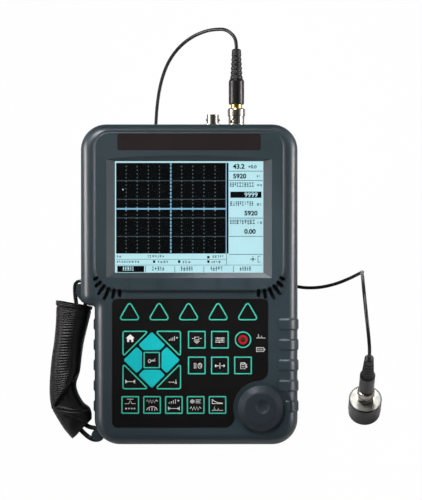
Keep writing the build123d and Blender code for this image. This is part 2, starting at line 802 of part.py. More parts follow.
def stand_bay(grow):
    """Room for the folded kickstand, or with grow the walls around it."""
    half_w = STAND_HALF_W + STAND_SIDE_GAP + grow
    low_u = STAND_BAY_LOW_U - grow
    top_u = HINGE_U + HINGE_BAY_UP + grow
    low_n = WALL / 2 if grow > 0 else -WALL
    deep_u = HINGE_U - HINGE_BAY_DOWN - grow
    flat = block(-half_w, half_w, low_u, HINGE_U, low_n, STAND_BAY_FLOOR + grow)
    return flat + block(-half_w, half_w, deep_u, top_u, low_n, HINGE_BAY_FLOOR + grow)


def hinge_ears():
    """Blocks beside the bay that hold the kickstand's pins."""
    inner_x = STAND_HALF_W + STAND_SIDE_GAP
    outer_x = inner_x + TRUNNION_LEN + BAY_WALL
    top_n = HINGE_BAY_FLOOR + BAY_WALL
    low_u = HINGE_U - HINGE_BAY_DOWN
    high_u = HINGE_U + HINGE_BAY_DOWN
    right = block(inner_x, outer_x, low_u, high_u, WALL / 2, top_n)
    left = block(-outer_x, -inner_x, low_u, high_u, WALL / 2, top_n)
    return [right, left]


def door_outline(grow):
    width = 2 * (DOOR_HALF_W + grow)
    height = DOOR_TOP_U - DOOR_LOW_U + 2 * grow
    return Pos(0, door_u) * RectangleRounded(width, height, DOOR_R + grow)


def battery_room(grow):
    low_u = DOOR_LOW_U + BAY_EDGE - grow
    top_u = DOOR_TOP_U - BAY_EDGE + grow
    return block(-BAY_HALF_W - grow, BAY_HALF_W + grow, low_u, top_u, WALL / 2, BAY_TOP_N + grow)


def rear_shell():
    shell = outer_body() - half_space(rim_low_n, 2 * FACE_N)
    shell = shell - slab(inner_outline, WALL, PART_N)
    shell = strap_ears(shell)
    for x, u in CASE_SCREWS:
        shell = shell + disc(x, u, WALL / 2, rim_low_n, POST_R)
    shell = shell + board_posts()
    shell = shell + stand_bay(BAY_WALL)
    shell = shell + hinge_ears()
    shell = shell + slab(door_outline(BAY_WALL), WALL / 2, door_seat_n + BAY_WALL)
    shell = shell + battery_room(BAY_SKIN)
    for x in (-DOOR_SCREW_X, DOOR_SCREW_X):
        shell = shell + disc(x, door_u, WALL / 2, DOOR_POST_TOP, POST_R)
    shell = shell - stand_bay(0)
    socket_len = STAND_HALF_W + TRUNNION_LEN + TRUNNION_END_GAP
    shell = shell - across_hinge(TRUNNION_R + TRUNNION_GAP, socket_len)
    shell = shell - slab(door_outline(DOOR_GAP), -WALL, door_seat_n)
    shell = shell - battery_room(0)
    for x, u in CASE_SCREWS:
        shell = shell - disc(x, u, -WALL, SCREW_SINK, SCREW_HEAD_R + SCREW_CLEAR)
        shell = shell - disc(x, u, -WALL, PART_N, SCREW_R + SCREW_CLEAR)
    for x in (-DOOR_SCREW_X, DOOR_SCREW_X):
        shell = shell - disc(x, door_u, 0, door_seat_n + DOOR_SCREW_LEN, SCREW_R + THREAD_GAP)
    for x in SOCKET_X:
        shell = shell - Pos(x, CASE_H, SOCKET_N) * Rot(90, 0, 0) * Cylinder(SOCKET_R + SOCKET_GAP, 6 * WALL)
    return shell


def case_gasket():
    outer = offset(case_outline(), amount=-GASKET_INSET)
    inner = offset(case_outline(), amount=-GASKET_INSET - GASKET_W)
    return slab(outer - inner, rim_low_n, rim_high_n)


def screen_window():
    top_n = FACE_N - WINDOW_DEPTH
    lap = WINDOW_LAP - WINDOW_GAP
    plate = Pos(0, LCD_U) * RectangleRounded(LCD_W + 2 * lap, LCD_H + 2 * lap, 1.5)
    return slab(plate, top_n - WINDOW_T, top_n)


def lcd_module():
    front_n = FACE_N - WINDOW_DEPTH - WINDOW_T - LCD_AIR
    lap = WINDOW_LAP - 2 * WINDOW_GAP
    shoulder_n = cavity_top_n - WINDOW_GAP
    face = Pos(0, LCD_U) * Rectangle(LCD_W + 2 * lap, LCD_H + 2 * lap)
    frame = Pos(0, LCD_U) * Rectangle(LCD_FRAME_W, LCD_FRAME_H)
    return slab(frame, shoulder_n - LCD_FRAME_T, shoulder_n) + slab(face, shoulder_n, front_n)


def nameplate():
    plate = Pos(0, PLATE_U) * RectangleRounded(PLATE_W, PLATE_H, PLATE_R)
    return slab(plate, FACE_N - PLATE_SINK, FACE_N - PLATE_SINK + PLATE_T)


def keypad_panel():
    sheet = panel_outline(0)
    for key in key_sketches.values():
        sheet = sheet - offset(key, amount=KEY_GAP)
    return slab(sheet, panel_low_n, panel_top_n)


def key_cap(sketch):
    cap = slab(sketch, key_low_n, key_top_n)
    return chamfer(cap.edges().group_by(Axis.Z)[-1], KEY_CHAMFER)


def knob():
    low = DECK_N + KNOB_LIFT
    profile = (
        (0, low + SHAFT_IN_KNOB),
        (SHAFT_R + BOOT_FIT, low + SHAFT_IN_KNOB),
        (SHAFT_R + BOOT_FIT, low),
        (KNOB_R - 0.4, low),
        (KNOB_R, low + 0.4),
        (KNOB_R, low + KNOB_SIDE_H - 0.6),
        (KNOB_R - 0.5, low + KNOB_SIDE_H),
        (KNOB_TOP_R + 0.6, low + KNOB_H - 0.3),
        (KNOB_TOP_R - 0.4, low + KNOB_H),
        (0, low + KNOB_H),
    )
    body = turned(profile)
    ball_r = (DIMPLE_R**2 + DIMPLE_DEEP**2) / (2 * DIMPLE_DEEP)
    dimple = Pos(DIMPLE_SHIFT, DIMPLE_SHIFT, low + KNOB_H - DIMPLE_DEEP + ball_r) * Sphere(ball_r)
    return Pos(KNOB_X, KNOB_U) * (body - dimple)


def encoder_shaft():
    low = cavity_top_n - ENCODER_T + 1
    top = DECK_N + KNOB_LIFT + SHAFT_IN_KNOB
    return disc(KNOB_X, KNOB_U, low, top, SHAFT_R)


def encoder_body():
    half = ENCODER_SIDE / 2
    low = cavity_top_n - ENCODER_T
    body = block(KNOB_X - half, KNOB_X + half, KNOB_U - half, KNOB_U + half, low, cavity_top_n)
    body = body + disc(KNOB_X, KNOB_U, cavity_top_n - 1, DECK_N - DISH_DEEP, BUSHING_R)
    return body - disc(KNOB_X, KNOB_U, low + 0.9, DECK_N, SHAFT_R + SHAFT_GAP)


def main_board():
    top_n = BOARD_N + BOARD_T
    board = block(-BOARD_HALF_W, BOARD_HALF_W, BOARD_LOW_U, BOARD_TOP_U, BOARD_N, top_n)
    for x, u, width, height in CHIPS:
        board = board + slab(Pos(x, u) * Rectangle(width, height), top_n, top_n + CHIP_H)
    return board


def battery_pack():
    half_w = BAY_HALF_W - PACK_GAP
    low_u = DOOR_LOW_U + BAY_EDGE + PACK_GAP
    top_u = DOOR_TOP_U - BAY_EDGE - PACK_GAP
    pack = block(-half_w, half_w, low_u, top_u, DOOR_T + DOOR_GAP + 0.3, BAY_TOP_N - PACK_GAP)
    return fillet(pack.edges().filter_by(Axis.X), PACK_R)


def battery_door():
    door = slab(door_outline(0), DOOR_GAP, door_seat_n)
    for x in (-DOOR_SCREW_X, DOOR_SCREW_X):
        door = door - disc(x, door_u, 0, door_seat_n, SCREW_R + SCREW_CLEAR)
        door = door - disc(x, door_u, 0, DOOR_GAP + DOOR_T / 2, SCREW_HEAD_R + SCREW_CLEAR)
    low_u = DOOR_LOW_U + DOOR_GRIP_INSET
    for index in range(DOOR_GRIP_COUNT):
        x = (index - (DOOR_GRIP_COUNT - 1) / 2) * 2 * DOOR_GRIP_W
        half = DOOR_GRIP_W / 2
        door = door - block(x - half, x + half, low_u, low_u + DOOR_GRIP_LEN, 0, DOOR_GAP + DOOR_GRIP_DEEP)
    return door


def screw(x, u, seat_n, length, head_h):
    """Screw whose head faces the back, with a cross slot."""
    shank = disc(x, u, seat_n, seat_n + length, SCREW_R)
    head = disc(x, u, seat_n - head_h, seat_n, SCREW_HEAD_R)
    slot = Rectangle(2 * SCREW_R, SCREW_SLOT_W) + Rectangle(SCREW_SLOT_W, 2 * SCREW_R)
    return shank + head - slab(Pos(x, u) * slot, seat_n - head_h, seat_n - head_h + SCREW_SLOT_DEEP)


def case_screws():
    screws = [screw(x, u, SCREW_SINK, CASE_SCREW_LEN, SCREW_HEAD_H) for x, u in CASE_SCREWS]
    for x in (-DOOR_SCREW_X, DOOR_SCREW_X):
        screws.append(screw(x, door_u, DOOR_GAP + DOOR_T / 2, DOOR_SCREW_LEN, DOOR_T / 2))
    return Compound(children=[item.solid() for item in screws])


def socket_shell(wall_below):
    """Bayonet socket along Z, its flange on the face at Z 0."""
    barrel = Pos(0, 0, SOCKET_H / 2) * Cylinder(SOCKET_R, SOCKET_H)
    flange = Pos(0, 0, SOCKET_FLANGE_T / 2) * Cylinder(SOCKET_FLANGE_R, SOCKET_FLANGE_T)
    body = barrel + flange + Pos(0, 0, -SOCKET_TAIL / 2) * Cylinder(SOCKET_R, SOCKET_TAIL)
    if wall_below > 0:
        body = body + slab(RegularPolygon(SOCKET_NUT_R, 6), -wall_below - SOCKET_NUT_T, -wall_below)
    body = body + Pos(0, 0, LUG_H) * Rot(0, 90, 0) * Cylinder(LUG_R, 2 * LUG_REACH)
    body = body - Pos(0, 0, SOCKET_H - SOCKET_BORE_DEEP / 2) * Cylinder(SOCKET_BORE_R, SOCKET_BORE_DEEP)
    return body - Cylinder(INSULATOR_R + INSULATOR_GAP, 4 * SOCKET_H)


def socket_insulator():
    top = SOCKET_H - INSULATOR_BELOW_MOUTH
    core = Pos(0, 0, (top - SOCKET_TAIL) / 2) * Cylinder(INSULATOR_R, top + SOCKET_TAIL)
    return core - Pos(0, 0, top - CONTACT_DEEP / 2) * Cylinder(CONTACT_R, CONTACT_DEEP)


def plug_nut():
    profile = (
        (NUT_BORE_R, NUT_FROM),
        (NUT_SKIRT_R, NUT_FROM),
        (NUT_SKIRT_R, NUT_SKIRT_TO),
        (NUT_R, NUT_SKIRT_TO + 0.5),
        (NUT_R, NUT_TO - NUT_EDGE_R),
        (NUT_R - NUT_EDGE_R * 0.3, NUT_TO - NUT_EDGE_R * 0.3),
        (NUT_R - NUT_EDGE_R, NUT_TO),
        (NECK_R + NUT_GAP, NUT_TO),
        (NECK_R + NUT_GAP, NUT_WEB_FROM),
        (NUT_BORE_R, NUT_WEB_FROM),
    )
    nut = turned(profile)
    cutter = Rot(0, 90, 0) * Cylinder(NUT_SLOT_W / 2, NUT_SLOT_W)
    for start in (NUT_SLOT_TURN, NUT_SLOT_TURN + 180):
        for step in range(NUT_SLOT_STEPS):
            height = NUT_FROM + step * NUT_SLOT_RISE
            cut = Pos(NUT_SKIRT_R, 0, height) * cutter
            nut = nut - Rot(0, 0, start + step * NUT_SLOT_LEAN) * cut
    return nut


def plug_ferrule():
    profile = (
        (SLEEVE_BORE_R, SLEEVE_FROM),
        (SLEEVE_R, SLEEVE_FROM),
        (SLEEVE_R, COLLAR_FROM),
        (COLLAR_R, COLLAR_FROM),
        (COLLAR_R, COLLAR_TO),
        (NECK_R, COLLAR_TO),
        (NECK_R, BARREL_FROM + NECK_IN),
        (SLEEVE_BORE_R, BARREL_FROM + NECK_IN),
    )
    return turned(profile)


def plug_barrel():
    profile = (
        (NECK_R + BOOT_FIT, BARREL_FROM),
        (BARREL_R - BARREL_CHAMFER, BARREL_FROM),
        (BARREL_R, BARREL_FROM + BARREL_CHAMFER),
        (BARREL_R, BARREL_TO - BARREL_SHOULDER),
        (BOOT_R, BARREL_TO),
        (0, BARREL_TO),
        (0, BARREL_FROM + NECK_IN),
        (NECK_R + BOOT_FIT, BARREL_FROM + NECK_IN),
    )
    return turned(profile)


def plug_boot():
    points = [(0, BARREL_TO), (BOOT_R, BARREL_TO)]
    pitch = BOOT_LEN * 0.75 / BOOT_RIBS
    for index in range(BOOT_RIBS):
        start = BARREL_TO + 1.5 + index * pitch
        radius = BOOT_R - (BOOT_R - BOOT_TIP_R) * (start - BARREL_TO) / BOOT_LEN
        points.append((radius, start))
        points.append((radius - BOOT_GROOVE, start + 0.3 * pitch))
        points.append((radius - BOOT_GROOVE, start + 0.45 * pitch))
        points.append((radius - 0.2, start + 0.75 * pitch))
    points.append((BOOT_TIP_R, BARREL_TO + BOOT_LEN - 1.0))
    points.append((BOOT_TIP_R - 0.9, BARREL_TO + BOOT_LEN))
    points.append((0, BARREL_TO + BOOT_LEN))
    return turned(points)


def beside(points, shift):
    """Rounded loop that runs to the left of a closed row of points, or to the right if shift is negative."""
    row = [Vector(*point) for point in points]
    row = [row[-1], *row, row[0]]
    corners = []
    radii = []
    for before, here, after, radius in zip(row, row[1:], row[2:], corner_radii(row)):
        first = (here - before).normalized().rotate(Axis.Z, 90)
        second = (after - here).normalized().rotate(Axis.Z, 90)
        corners.append(here + (first + second) * (shift / (1 + first.dot(second))))
        turns_left = first.cross(second).Z > 0
        radii.append(radius - shift if turns_left else radius + shift)
    return rounded(corners, radii)


def webbing():
    """One closed strip of webbing around the upper bar, through the sleeve and around the lower bar."""
    bar_x, bar_u = LOW_BAR
    half = WEB_T / 2
    slot_x = -BAR_IN_X + SLOT_W / 2
    out_x = -BAR_OUT_X - half - WEB_SLACK / 2
    over_u = BAR_TOP_U + half + WEB_SLACK
    points = (
        (slot_x, 111.5),
        (slot_x, over_u),
        (out_x, over_u),
        (out_x, 116.5),
        (-89.2, 107.0),
        (-94.0, 92.0),
        (-97.6, 75.0),
        (-99.8, 60.0),
        (-101.2, 45.0),
        (-99.4, 31.2),
        (-93.6, 19.0),
        (-86.0, 9.0),
        (bar_x - 5.5, bar_u - 4.4),
        (bar_x + 1.4, bar_u - 5.0),
        (bar_x + 5.0, bar_u - 1.0),
        (bar_x + 2.6, bar_u + 4.2),
        (bar_x - 3.5, bar_u + 4.6),
        (-82.6, 13.0),
        (-89.4, 22.6),
        (-94.4, 33.2),
        (-96.0, 45.0),
        (-95.0, 60.0),
        (-92.4, 75.0),
        (-88.4, 92.0),
        (-83.6, 103.5),
    )
    ring = beside(points, -half) - beside(points, half)
    return slab(ring, STRAP_N - WEB_W / 2, STRAP_N + WEB_W / 2)


def sleeve_section(cut, shrink):
    x, u, width, angle = cut
    along = math.radians(angle)
    across = (math.cos(along), math.sin(along), 0)
    down = (math.sin(along), -math.cos(along), 0)
    plane = Plane(origin=(x, u, STRAP_N), x_dir=across, z_dir=down)
    return plane * RectangleRounded(width - 2 * shrink, SLEEVE_DEPTH - 2 * shrink, SLEEVE_ROUND - shrink)


def strap_sleeve():
    outer = loft([sleeve_section(cut, 0) for cut in SLEEVE_CUTS])
    inner = loft([sleeve_section(cut, SLEEVE_WALL) for cut in SLEEVE_CUTS])
    return outer - inner


def probe_sole():
    profile = ((0, 0), (SOLE_R - PROBE_EDGE, 0), (SOLE_R, PROBE_EDGE), (SOLE_R, SOLE_H), (0, SOLE_H))
    return turned(profile)


def probe_case():
    profile = (
        (0, SOLE_H),
        (PROBE_R - PROBE_EDGE, SOLE_H),
        (PROBE_R, SOLE_H + PROBE_EDGE),
        (PROBE_R, PROBE_H - PROBE_EDGE),
        (PROBE_R - PROBE_EDGE, PROBE_H),
        (CAP_R, PROBE_H),
        (CAP_R, PROBE_H - CAP_SINK),
        (0, PROBE_H - CAP_SINK),
    )
    return turned(profile) - Pos(0, 0, PROBE_H) * Cylinder(SOCKET_R + SOCKET_GAP, 2 * (SOCKET_TAIL + 1))


def probe_cap():
    cap = Pos(0, 0, PROBE_H - CAP_SINK + CAP_T / 2) * Cylinder(CAP_R - 0.05, CAP_T)
    return cap - Pos(0, 0, PROBE_H) * Cylinder(SOCKET_R + SOCKET_GAP, 10)


def lead_tube(points):
    """Straight runs joined by arcs as large as the runs allow."""
    vectors = [Vector(*point) for point in points]
    radii = corner_radii(vectors)
    path = FilletPolyline(*vectors, radius=radii)
    start = Plane(origin=path @ 0, z_dir=path % 0)
    tube = sweep(start * Circle(LEAD_D / 2), path=path)
    print("lead radii", [round(radius, 1) for radius in radii])
    plain_volume = path.length * math.pi * LEAD_D**2 / 4
    print("lead length", round(path.length, 1), "volume share", round(tube.volume / plain_volume, 4))
    return tube


def coil():
    return Pos(COIL_X, COIL_Y, COIL_Z) * Torus(COIL_R, COIL_BUNDLE_R)


def coil_tie():
    inside = 2 * (COIL_BUNDLE_R + TIE_GAP)
    outside = inside + 2 * TIE_T
    band = Cylinder(outside / 2, TIE_W) - Cylinder(inside / 2, TIE_W)
    place = Pos(COIL_X, COIL_Y, COIL_Z) * Rot(0, 0, TIE_ANGLE) * Pos(COIL_R, 0, 0) * Rot(90, 0, 0)
    return place * band


# Everything, by node name. Case pieces are leaned back, the rest stands on the table.
case_pieces = {
    "front_shell": front_shell(),
    "rear_shell": rear_shell(),
    "case_gasket": case_gasket(),
    "screen_window": screen_window(),
    "lcd_module": lcd_module(),
    "nameplate": nameplate(),
    "keypad_panel": keypad_panel(),
    "knob": knob(),
    "encoder_shaft": encoder_shaft(),
    "encoder_body": encoder_body(),
    "main_board": main_board(),
    "battery_pack": battery_pack(),
    "battery_door": battery_door(),
    "case_screws": case_screws(),
    "kickstand": kickstand(),
    "strap_webbing": webbing(),
    "strap_sleeve": strap_sleeve(),
}
for key_name, sketch in key_sketches.items():
    case_pieces[key_name] = key_cap(sketch)

up_face = [Pos(x, CASE_H, SOCKET_N) * Rot(-90, 0, 0) for x in SOCKET_X]
sockets = [(place * socket_shell(WALL)).solid() for place in up_face]
insulators = [(place * socket_insulator()).solid() for place in up_face]
case_pieces["top_sockets"] = Compound(children=sockets)
case_pieces["socket_insulators"] = Compound(children=insulators)

probe_place = Pos(PROBE_X, PROBE_Y, 0)
probe_seat = Pos(PROBE_X, PROBE_Y, PROBE_H)
case_plug = LEAN * up_face[1]
pieces = {name: LEAN * shape for name, shape in case_pieces.items()}
pieces["probe_sole"] = probe_place * probe_sole()
pieces["probe_case"] = probe_place * probe_case()
pieces["probe_cap"] = probe_place * probe_cap()
pieces["probe_socket"] = probe_seat * socket_shell(0)

cord_pieces = {}
for letter, place in (("a", case_plug), ("b", probe_seat)):
    cord_pieces[f"plug_{letter}_nut"] = place * plug_nut()
    cord_pieces[f"plug_{letter}_barrel"] = place * plug_barrel()
    cord_pieces[f"plug_{letter}_boot"] = place * plug_boot()
ferrules = [(place * plug_ferrule()).solid() for place in (case_plug, probe_seat)]
cord_pieces["plug_ferrules"] = Compound(children=ferrules)

boot_top = BARREL_TO + BOOT_LEN
exit_a = (case_plug * Pos(0, 0, boot_top)).position
exit_b = (probe_seat * Pos(0, 0, boot_top)).position
after_a = (case_plug * Pos(0, 0, boot_top + CASE_EXIT_RUN)).position
before_b = (probe_seat * Pos(0, 0, boot_top + PROBE_EXIT_RUN)).position
cord_pieces["lead_upper"] = lead_tube([exit_a, after_a, *UPPER_ROUTE])
cord_pieces["lead_lower"] = lead_tube([*LOWER_ROUTE, before_b, exit_b])
cord_pieces["lead_coil"] = coil()
cord_pieces["coil_tie"] = coil_tie()

# The origin is under the middle of the box that the object fills without its lead.
boxes = [shape.bounding_box() for shape in pieces.values()]
low_x = min(box.min.X for box in boxes)
high_x = max(box.max.X for box in boxes)
low_y = min(box.min.Y for box in boxes)
high_y = max(box.max.Y for box in boxes)
origin = Pos(-(low_x + high_x) / 2, -(low_y + high_y) / 2, 0)
high_z = max(box.max.Z for box in boxes)
print("size", round(high_x - low_x, 1), round(high_y - low_y, 1), round(high_z, 1))
print("origin moved by", origin.position, "lift", round(LIFT, 3), "foot", round(foot_distance(), 2))

os.makedirs("parts", exist_ok=True)
for name, shape in {**pieces, **cord_pieces}.items():
    export_step(origin * shape, f"parts/{name}.step")
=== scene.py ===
# Looks of an ultrasonic flaw detector: a moulded case with a membrane keypad, a display, a leather
# hand strap, nickel-plated sockets, a thin coaxial lead and a round probe with a nickel-plated cap.
import math
import random

import bmesh
import bpy
from mathutils import Matrix, Vector


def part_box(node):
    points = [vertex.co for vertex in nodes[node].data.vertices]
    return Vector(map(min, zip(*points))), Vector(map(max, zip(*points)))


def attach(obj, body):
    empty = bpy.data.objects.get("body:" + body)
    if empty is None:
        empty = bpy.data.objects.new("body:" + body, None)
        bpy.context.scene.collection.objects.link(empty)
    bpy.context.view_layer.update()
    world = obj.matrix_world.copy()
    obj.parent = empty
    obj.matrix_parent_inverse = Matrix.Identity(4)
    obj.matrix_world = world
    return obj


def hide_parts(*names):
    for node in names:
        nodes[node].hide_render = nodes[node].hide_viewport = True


MM = 0.001
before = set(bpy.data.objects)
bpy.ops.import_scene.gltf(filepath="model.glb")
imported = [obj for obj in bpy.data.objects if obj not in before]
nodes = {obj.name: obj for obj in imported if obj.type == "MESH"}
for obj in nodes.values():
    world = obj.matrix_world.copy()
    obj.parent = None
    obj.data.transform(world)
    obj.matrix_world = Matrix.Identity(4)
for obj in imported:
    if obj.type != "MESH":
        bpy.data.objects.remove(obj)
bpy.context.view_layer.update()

# The case leans back by this angle. Its points are given across, up the face and out of the back, in
# millimetres, and the faces by their height over the back. The camera's measures are millimetres too.
FACE_SLOPE = math.radians(35)
WINDOW_MIDDLE = (0, 178.25, 57)
SCREEN_FACE = 55.7
PANEL_FACE = 57.3
KEY_FACE = 57.7
HEAD_FACE = 61.0
CAMERA_TARGET = (17.1, 152.4)
CAMERA_DISTANCE = 2000
PICTURE_WIDTH = 329.2
SENSOR_W = 36


def middle_of(node):
    """Middle of a CAD node's box, in metres."""
    low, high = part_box(node)
    return (Vector(low) + Vector(high)) / 2


lean = Matrix.Rotation(FACE_SLOPE, 4, "X")
case_frame = Matrix.Translation(middle_of("screen_window")) @ lean
case_frame = case_frame @ Matrix.Translation(-Vector(WINDOW_MIDDLE) * MM)

# The lead's route is given on the table, from the corner that the case's measures start from.
PROBE_AT = (141.0, 25.0)
probe_middle = middle_of("probe_sole")
table_corner = probe_middle.to_2d() - Vector(PROBE_AT) * MM


def linked(name, data):
    """A new object in the scene."""
    made = bpy.data.objects.new(name, data)
    bpy.context.scene.collection.objects.link(made)
    return made


def on_case(x, u, n):
    """Point on the case, in metres, from millimetres across, up the face and out of the back."""
    return case_frame @ (Vector((x, u, n)) * MM)


def on_table(x, y, z):
    """Point over the table, in metres, from millimetres."""
    return Vector((table_corner.x + x * MM, table_corner.y + y * MM, z * MM))


def case_middle_of(node):
    """Middle of a node across and up the face, in millimetres."""
    return (case_frame.inverted() @ middle_of(node)) / MM


# Camera, square to the face as in the photograph
camera_data = bpy.data.cameras.new("camera")
camera_data.sensor_fit = "HORIZONTAL"
camera_data.sensor_width = SENSOR_W
camera_data.lens = SENSOR_W * CAMERA_DISTANCE / PICTURE_WIDTH
camera_data.clip_start = 0.05
camera_data.clip_end = 20
camera = linked("camera", camera_data)
camera.matrix_world = Matrix.Translation(on_case(*CAMERA_TARGET, HEAD_FACE + CAMERA_DISTANCE)) @ lean
bpy.context.scene.camera = camera
bpy.context.scene.view_settings.view_transform = "Standard"


# Materials


def colour(text):
    """Linear colour from an sRGB hex value."""
    linear = []
    for start in (1, 3, 5):
        level = int(text[start:start + 2], 16) / 255
        linear.append(level / 12.92 if level <= 0.04045 else ((level + 0.055) / 1.055) ** 2.4)
    return (*linear, 1)


def add(tree, kind, **settings):
    """Adds a node. Each setting is one of its properties, or an input by name or number, set or linked."""
    made = tree.nodes.new("ShaderNode" + kind)
    for name, value in settings.items():
        if hasattr(made, name):
            setattr(made, name, value)
            continue
        number = name[2:] if name.startswith("in") else ""
        socket = made.inputs[int(number) if number.isdigit() else name.replace("_", " ")]
        if isinstance(value, bpy.types.NodeSocket):
            tree.links.new(value, socket)
        else:
            socket.default_value = value
    return made


def blank(name):
    """A new material with only its output."""
    made = bpy.data.materials.new(name)
    made.use_nodes = True
    made.node_tree.nodes.clear()
    return made, made.node_tree


def close(tree, shader):
    """Links a shader to a new output."""
    add(tree, "OutputMaterial", Surface=shader)


def moulded(name, base, mottle, roughness, grain_mm, depth_mm, specular=0.5):
    """Moulded plastic or rubber: the mould's fine texture, and a faint patchiness from handling.

    The grain has a size and a depth in millimetres.
    """
    made, tree = blank(name)
    place = add(tree, "TexCoord").outputs["Object"]
    patches = add(tree, "TexNoise", Vector=place, Scale=1 / (18 * MM), Detail=3, Roughness=0.6)
    grain = add(tree, "TexNoise", Vector=place, Scale=1 / (grain_mm * MM), Detail=2)
    tint = add(tree, "MixRGB", Fac=patches.outputs["Fac"], Color1=colour(base), Color2=colour(mottle))
    gloss = add(tree, "MapRange", Value=patches.outputs["Fac"], To_Min=roughness - 0.05,
                To_Max=roughness + 0.06)
    bump = add(tree, "Bump", Height=grain.outputs["Fac"], Distance=depth_mm * MM, Strength=0.6)
    shader = add(tree, "BsdfPrincipled", Base_Color=tint.outputs["Color"], Roughness=gloss.outputs["Result"],
                 IOR=1.5, Specular_IOR_Level=specular, Normal=bump.outputs["Normal"])
    close(tree, shader.outputs["BSDF"])
    return made


def plated(name, base, stain, roughness, brush_mm=0.0):
    """Plated or turned metal: faint stains, and for a turned one the rings that the tool left."""
    made, tree = blank(name)
    place = add(tree, "TexCoord").outputs["Object"]
    patches = add(tree, "TexNoise", Vector=place, Scale=1 / (6 * MM), Detail=4, Roughness=0.65)
    tint = add(tree, "MixRGB", Fac=patches.outputs["Fac"], Color1=colour(base), Color2=colour(stain))
    gloss = add(tree, "MapRange", Value=patches.outputs["Fac"], To_Min=roughness * 0.7, To_Max=roughness * 1.3)
    settings = {"Base_Color": tint.outputs["Color"], "Roughness": gloss.outputs["Result"], "Metallic": 1.0}
    if brush_mm:
        rings = add(tree, "TexNoise", Vector=place, Scale=1 / (brush_mm * MM), Detail=2)
        bump = add(tree, "Bump", Height=rings.outputs["Fac"], Distance=0.02 * MM, Strength=0.5)
        settings["Normal"] = bump.outputs["Normal"]
    shader = add(tree, "BsdfPrincipled", **settings)
    close(tree, shader.outputs["BSDF"])
    return made


def printed(name, base, roughness):
    """Ink of a print, with the slight unevenness of a thin coat."""
    made, tree = blank(name)
    place = add(tree, "TexCoord").outputs["Object"]
    patches = add(tree, "TexNoise", Vector=place, Scale=1 / (3 * MM), Detail=2)
    darker = tuple(level * 0.82 for level in colour(base)[:3]) + (1,)
    tint = add(tree, "MixRGB", Fac=patches.outputs["Fac"], Color1=colour(base), Color2=darker)
    shader = add(tree, "BsdfPrincipled", Base_Color=tint.outputs["Color"], Roughness=roughness,
                 Specular_IOR_Level=0.4)
    close(tree, shader.outputs["BSDF"])
    return made


# Case: ABS with a fine spark-eroded texture, which spreads the highlights.
case_abs = moulded("moulded ABS", "#27353c", "#2b3a41", 0.35, 0.5, 0.02, 0.75)
# Knob: the same plastic, more matt, so that only its cone catches light.
knob_abs = moulded("satin ABS", "#272f36", "#2b333a", 0.4, 0.6, 0.015, 0.2)
# Keypad: matt polyester overlay, nearly black with a brown cast.
overlay = moulded("matt polyester overlay", "#0b0a0a", "#0e0d0d", 0.42, 0.35, 0.008, 0.2)
# Keys: the same overlay over a stiff plate.
key_overlay = moulded("domed polyester overlay", "#0a0909", "#0d0c0c", 0.4, 0.35, 0.008, 0.22)
# Arrow keys: the overlay printed teal, the brightest colour on the case.
teal_overlay = moulded("teal polyester overlay", "#06b4ba", "#0abcc0", 0.38, 0.35, 0.008, 0.3)
# Nameplate: printed polycarbonate, a little glossier.
plate_sheet = moulded("printed polycarbonate", "#211a1c", "#261f21", 0.34, 0.4, 0.005, 0.3)
# Gasket: silicone rubber, a dull dark line all round.
gasket_rubber = moulded("silicone rubber", "#101112", "#151617", 0.6, 0.4, 0.02)
# Cable and boots: PVC, smooth with a soft sheen.
cable_pvc = moulded("extruded PVC", "#0d0e0f", "#121314", 0.34, 0.7, 0.012)
boot_pvc = moulded("moulded PVC", "#131415", "#18191a", 0.46, 0.5, 0.02)
# Coil's tie: moulded nylon, a little glossier than the boots.
tie_nylon = moulded("moulded nylon", "#0c0d0e", "#111213", 0.4, 0.5, 0.01)
# Plug barrels and probe body: black anodised aluminium, satin.
black_anodised = moulded("black anodised aluminium", "#0c0d0e", "#101112", 0.3, 0.25, 0.006, 0.5)
# Kickstand: powder coat, a little coarser than the case.
powder_coat = moulded("powder-coated steel", "#2b3135", "#30363a", 0.55, 0.8, 0.04)
# Socket insulators: turned PTFE, white and waxy.
insulator_ptfe = moulded("turned PTFE", "#dedbd2", "#e6e4dc", 0.45, 0.6, 0.01)
# Inside: a board in green solder resist, and a battery in blue shrink wrap.
board_resist = moulded("solder resist", "#1d5a33", "#1a5230", 0.35, 0.8, 0.01)
battery_wrap = moulded("PVC shrink wrap", "#23407a", "#1e3a70", 0.3, 1.2, 0.02)
# Sockets and nuts: nickel plate, bright with a warm cast.
nickel = plated("nickel plate", "#bdbab3", "#9d9a92", 0.22)
# Probe's top: the same plate over a blasted face, so that it looks grey all over.
satin_nickel = plated("satin nickel plate", "#a9a9a2", "#8f8f89", 0.5, 0.6)
# Ferrules: gold plate, which shows as a thin bright line behind each nut.
gold = plated("gold plate", "#e6c682", "#d6ac5c", 0.22)
# Screws and encoder: turned stainless steel.
turned_steel = plated("turned stainless steel", "#b9bcbe", "#9ea2a5", 0.3, 0.3)


def dress(material, *names):
    """Gives CAD nodes a material, in each of their slots."""
    for name in names:
        for slot in nodes[name].material_slots:
            slot.material = material


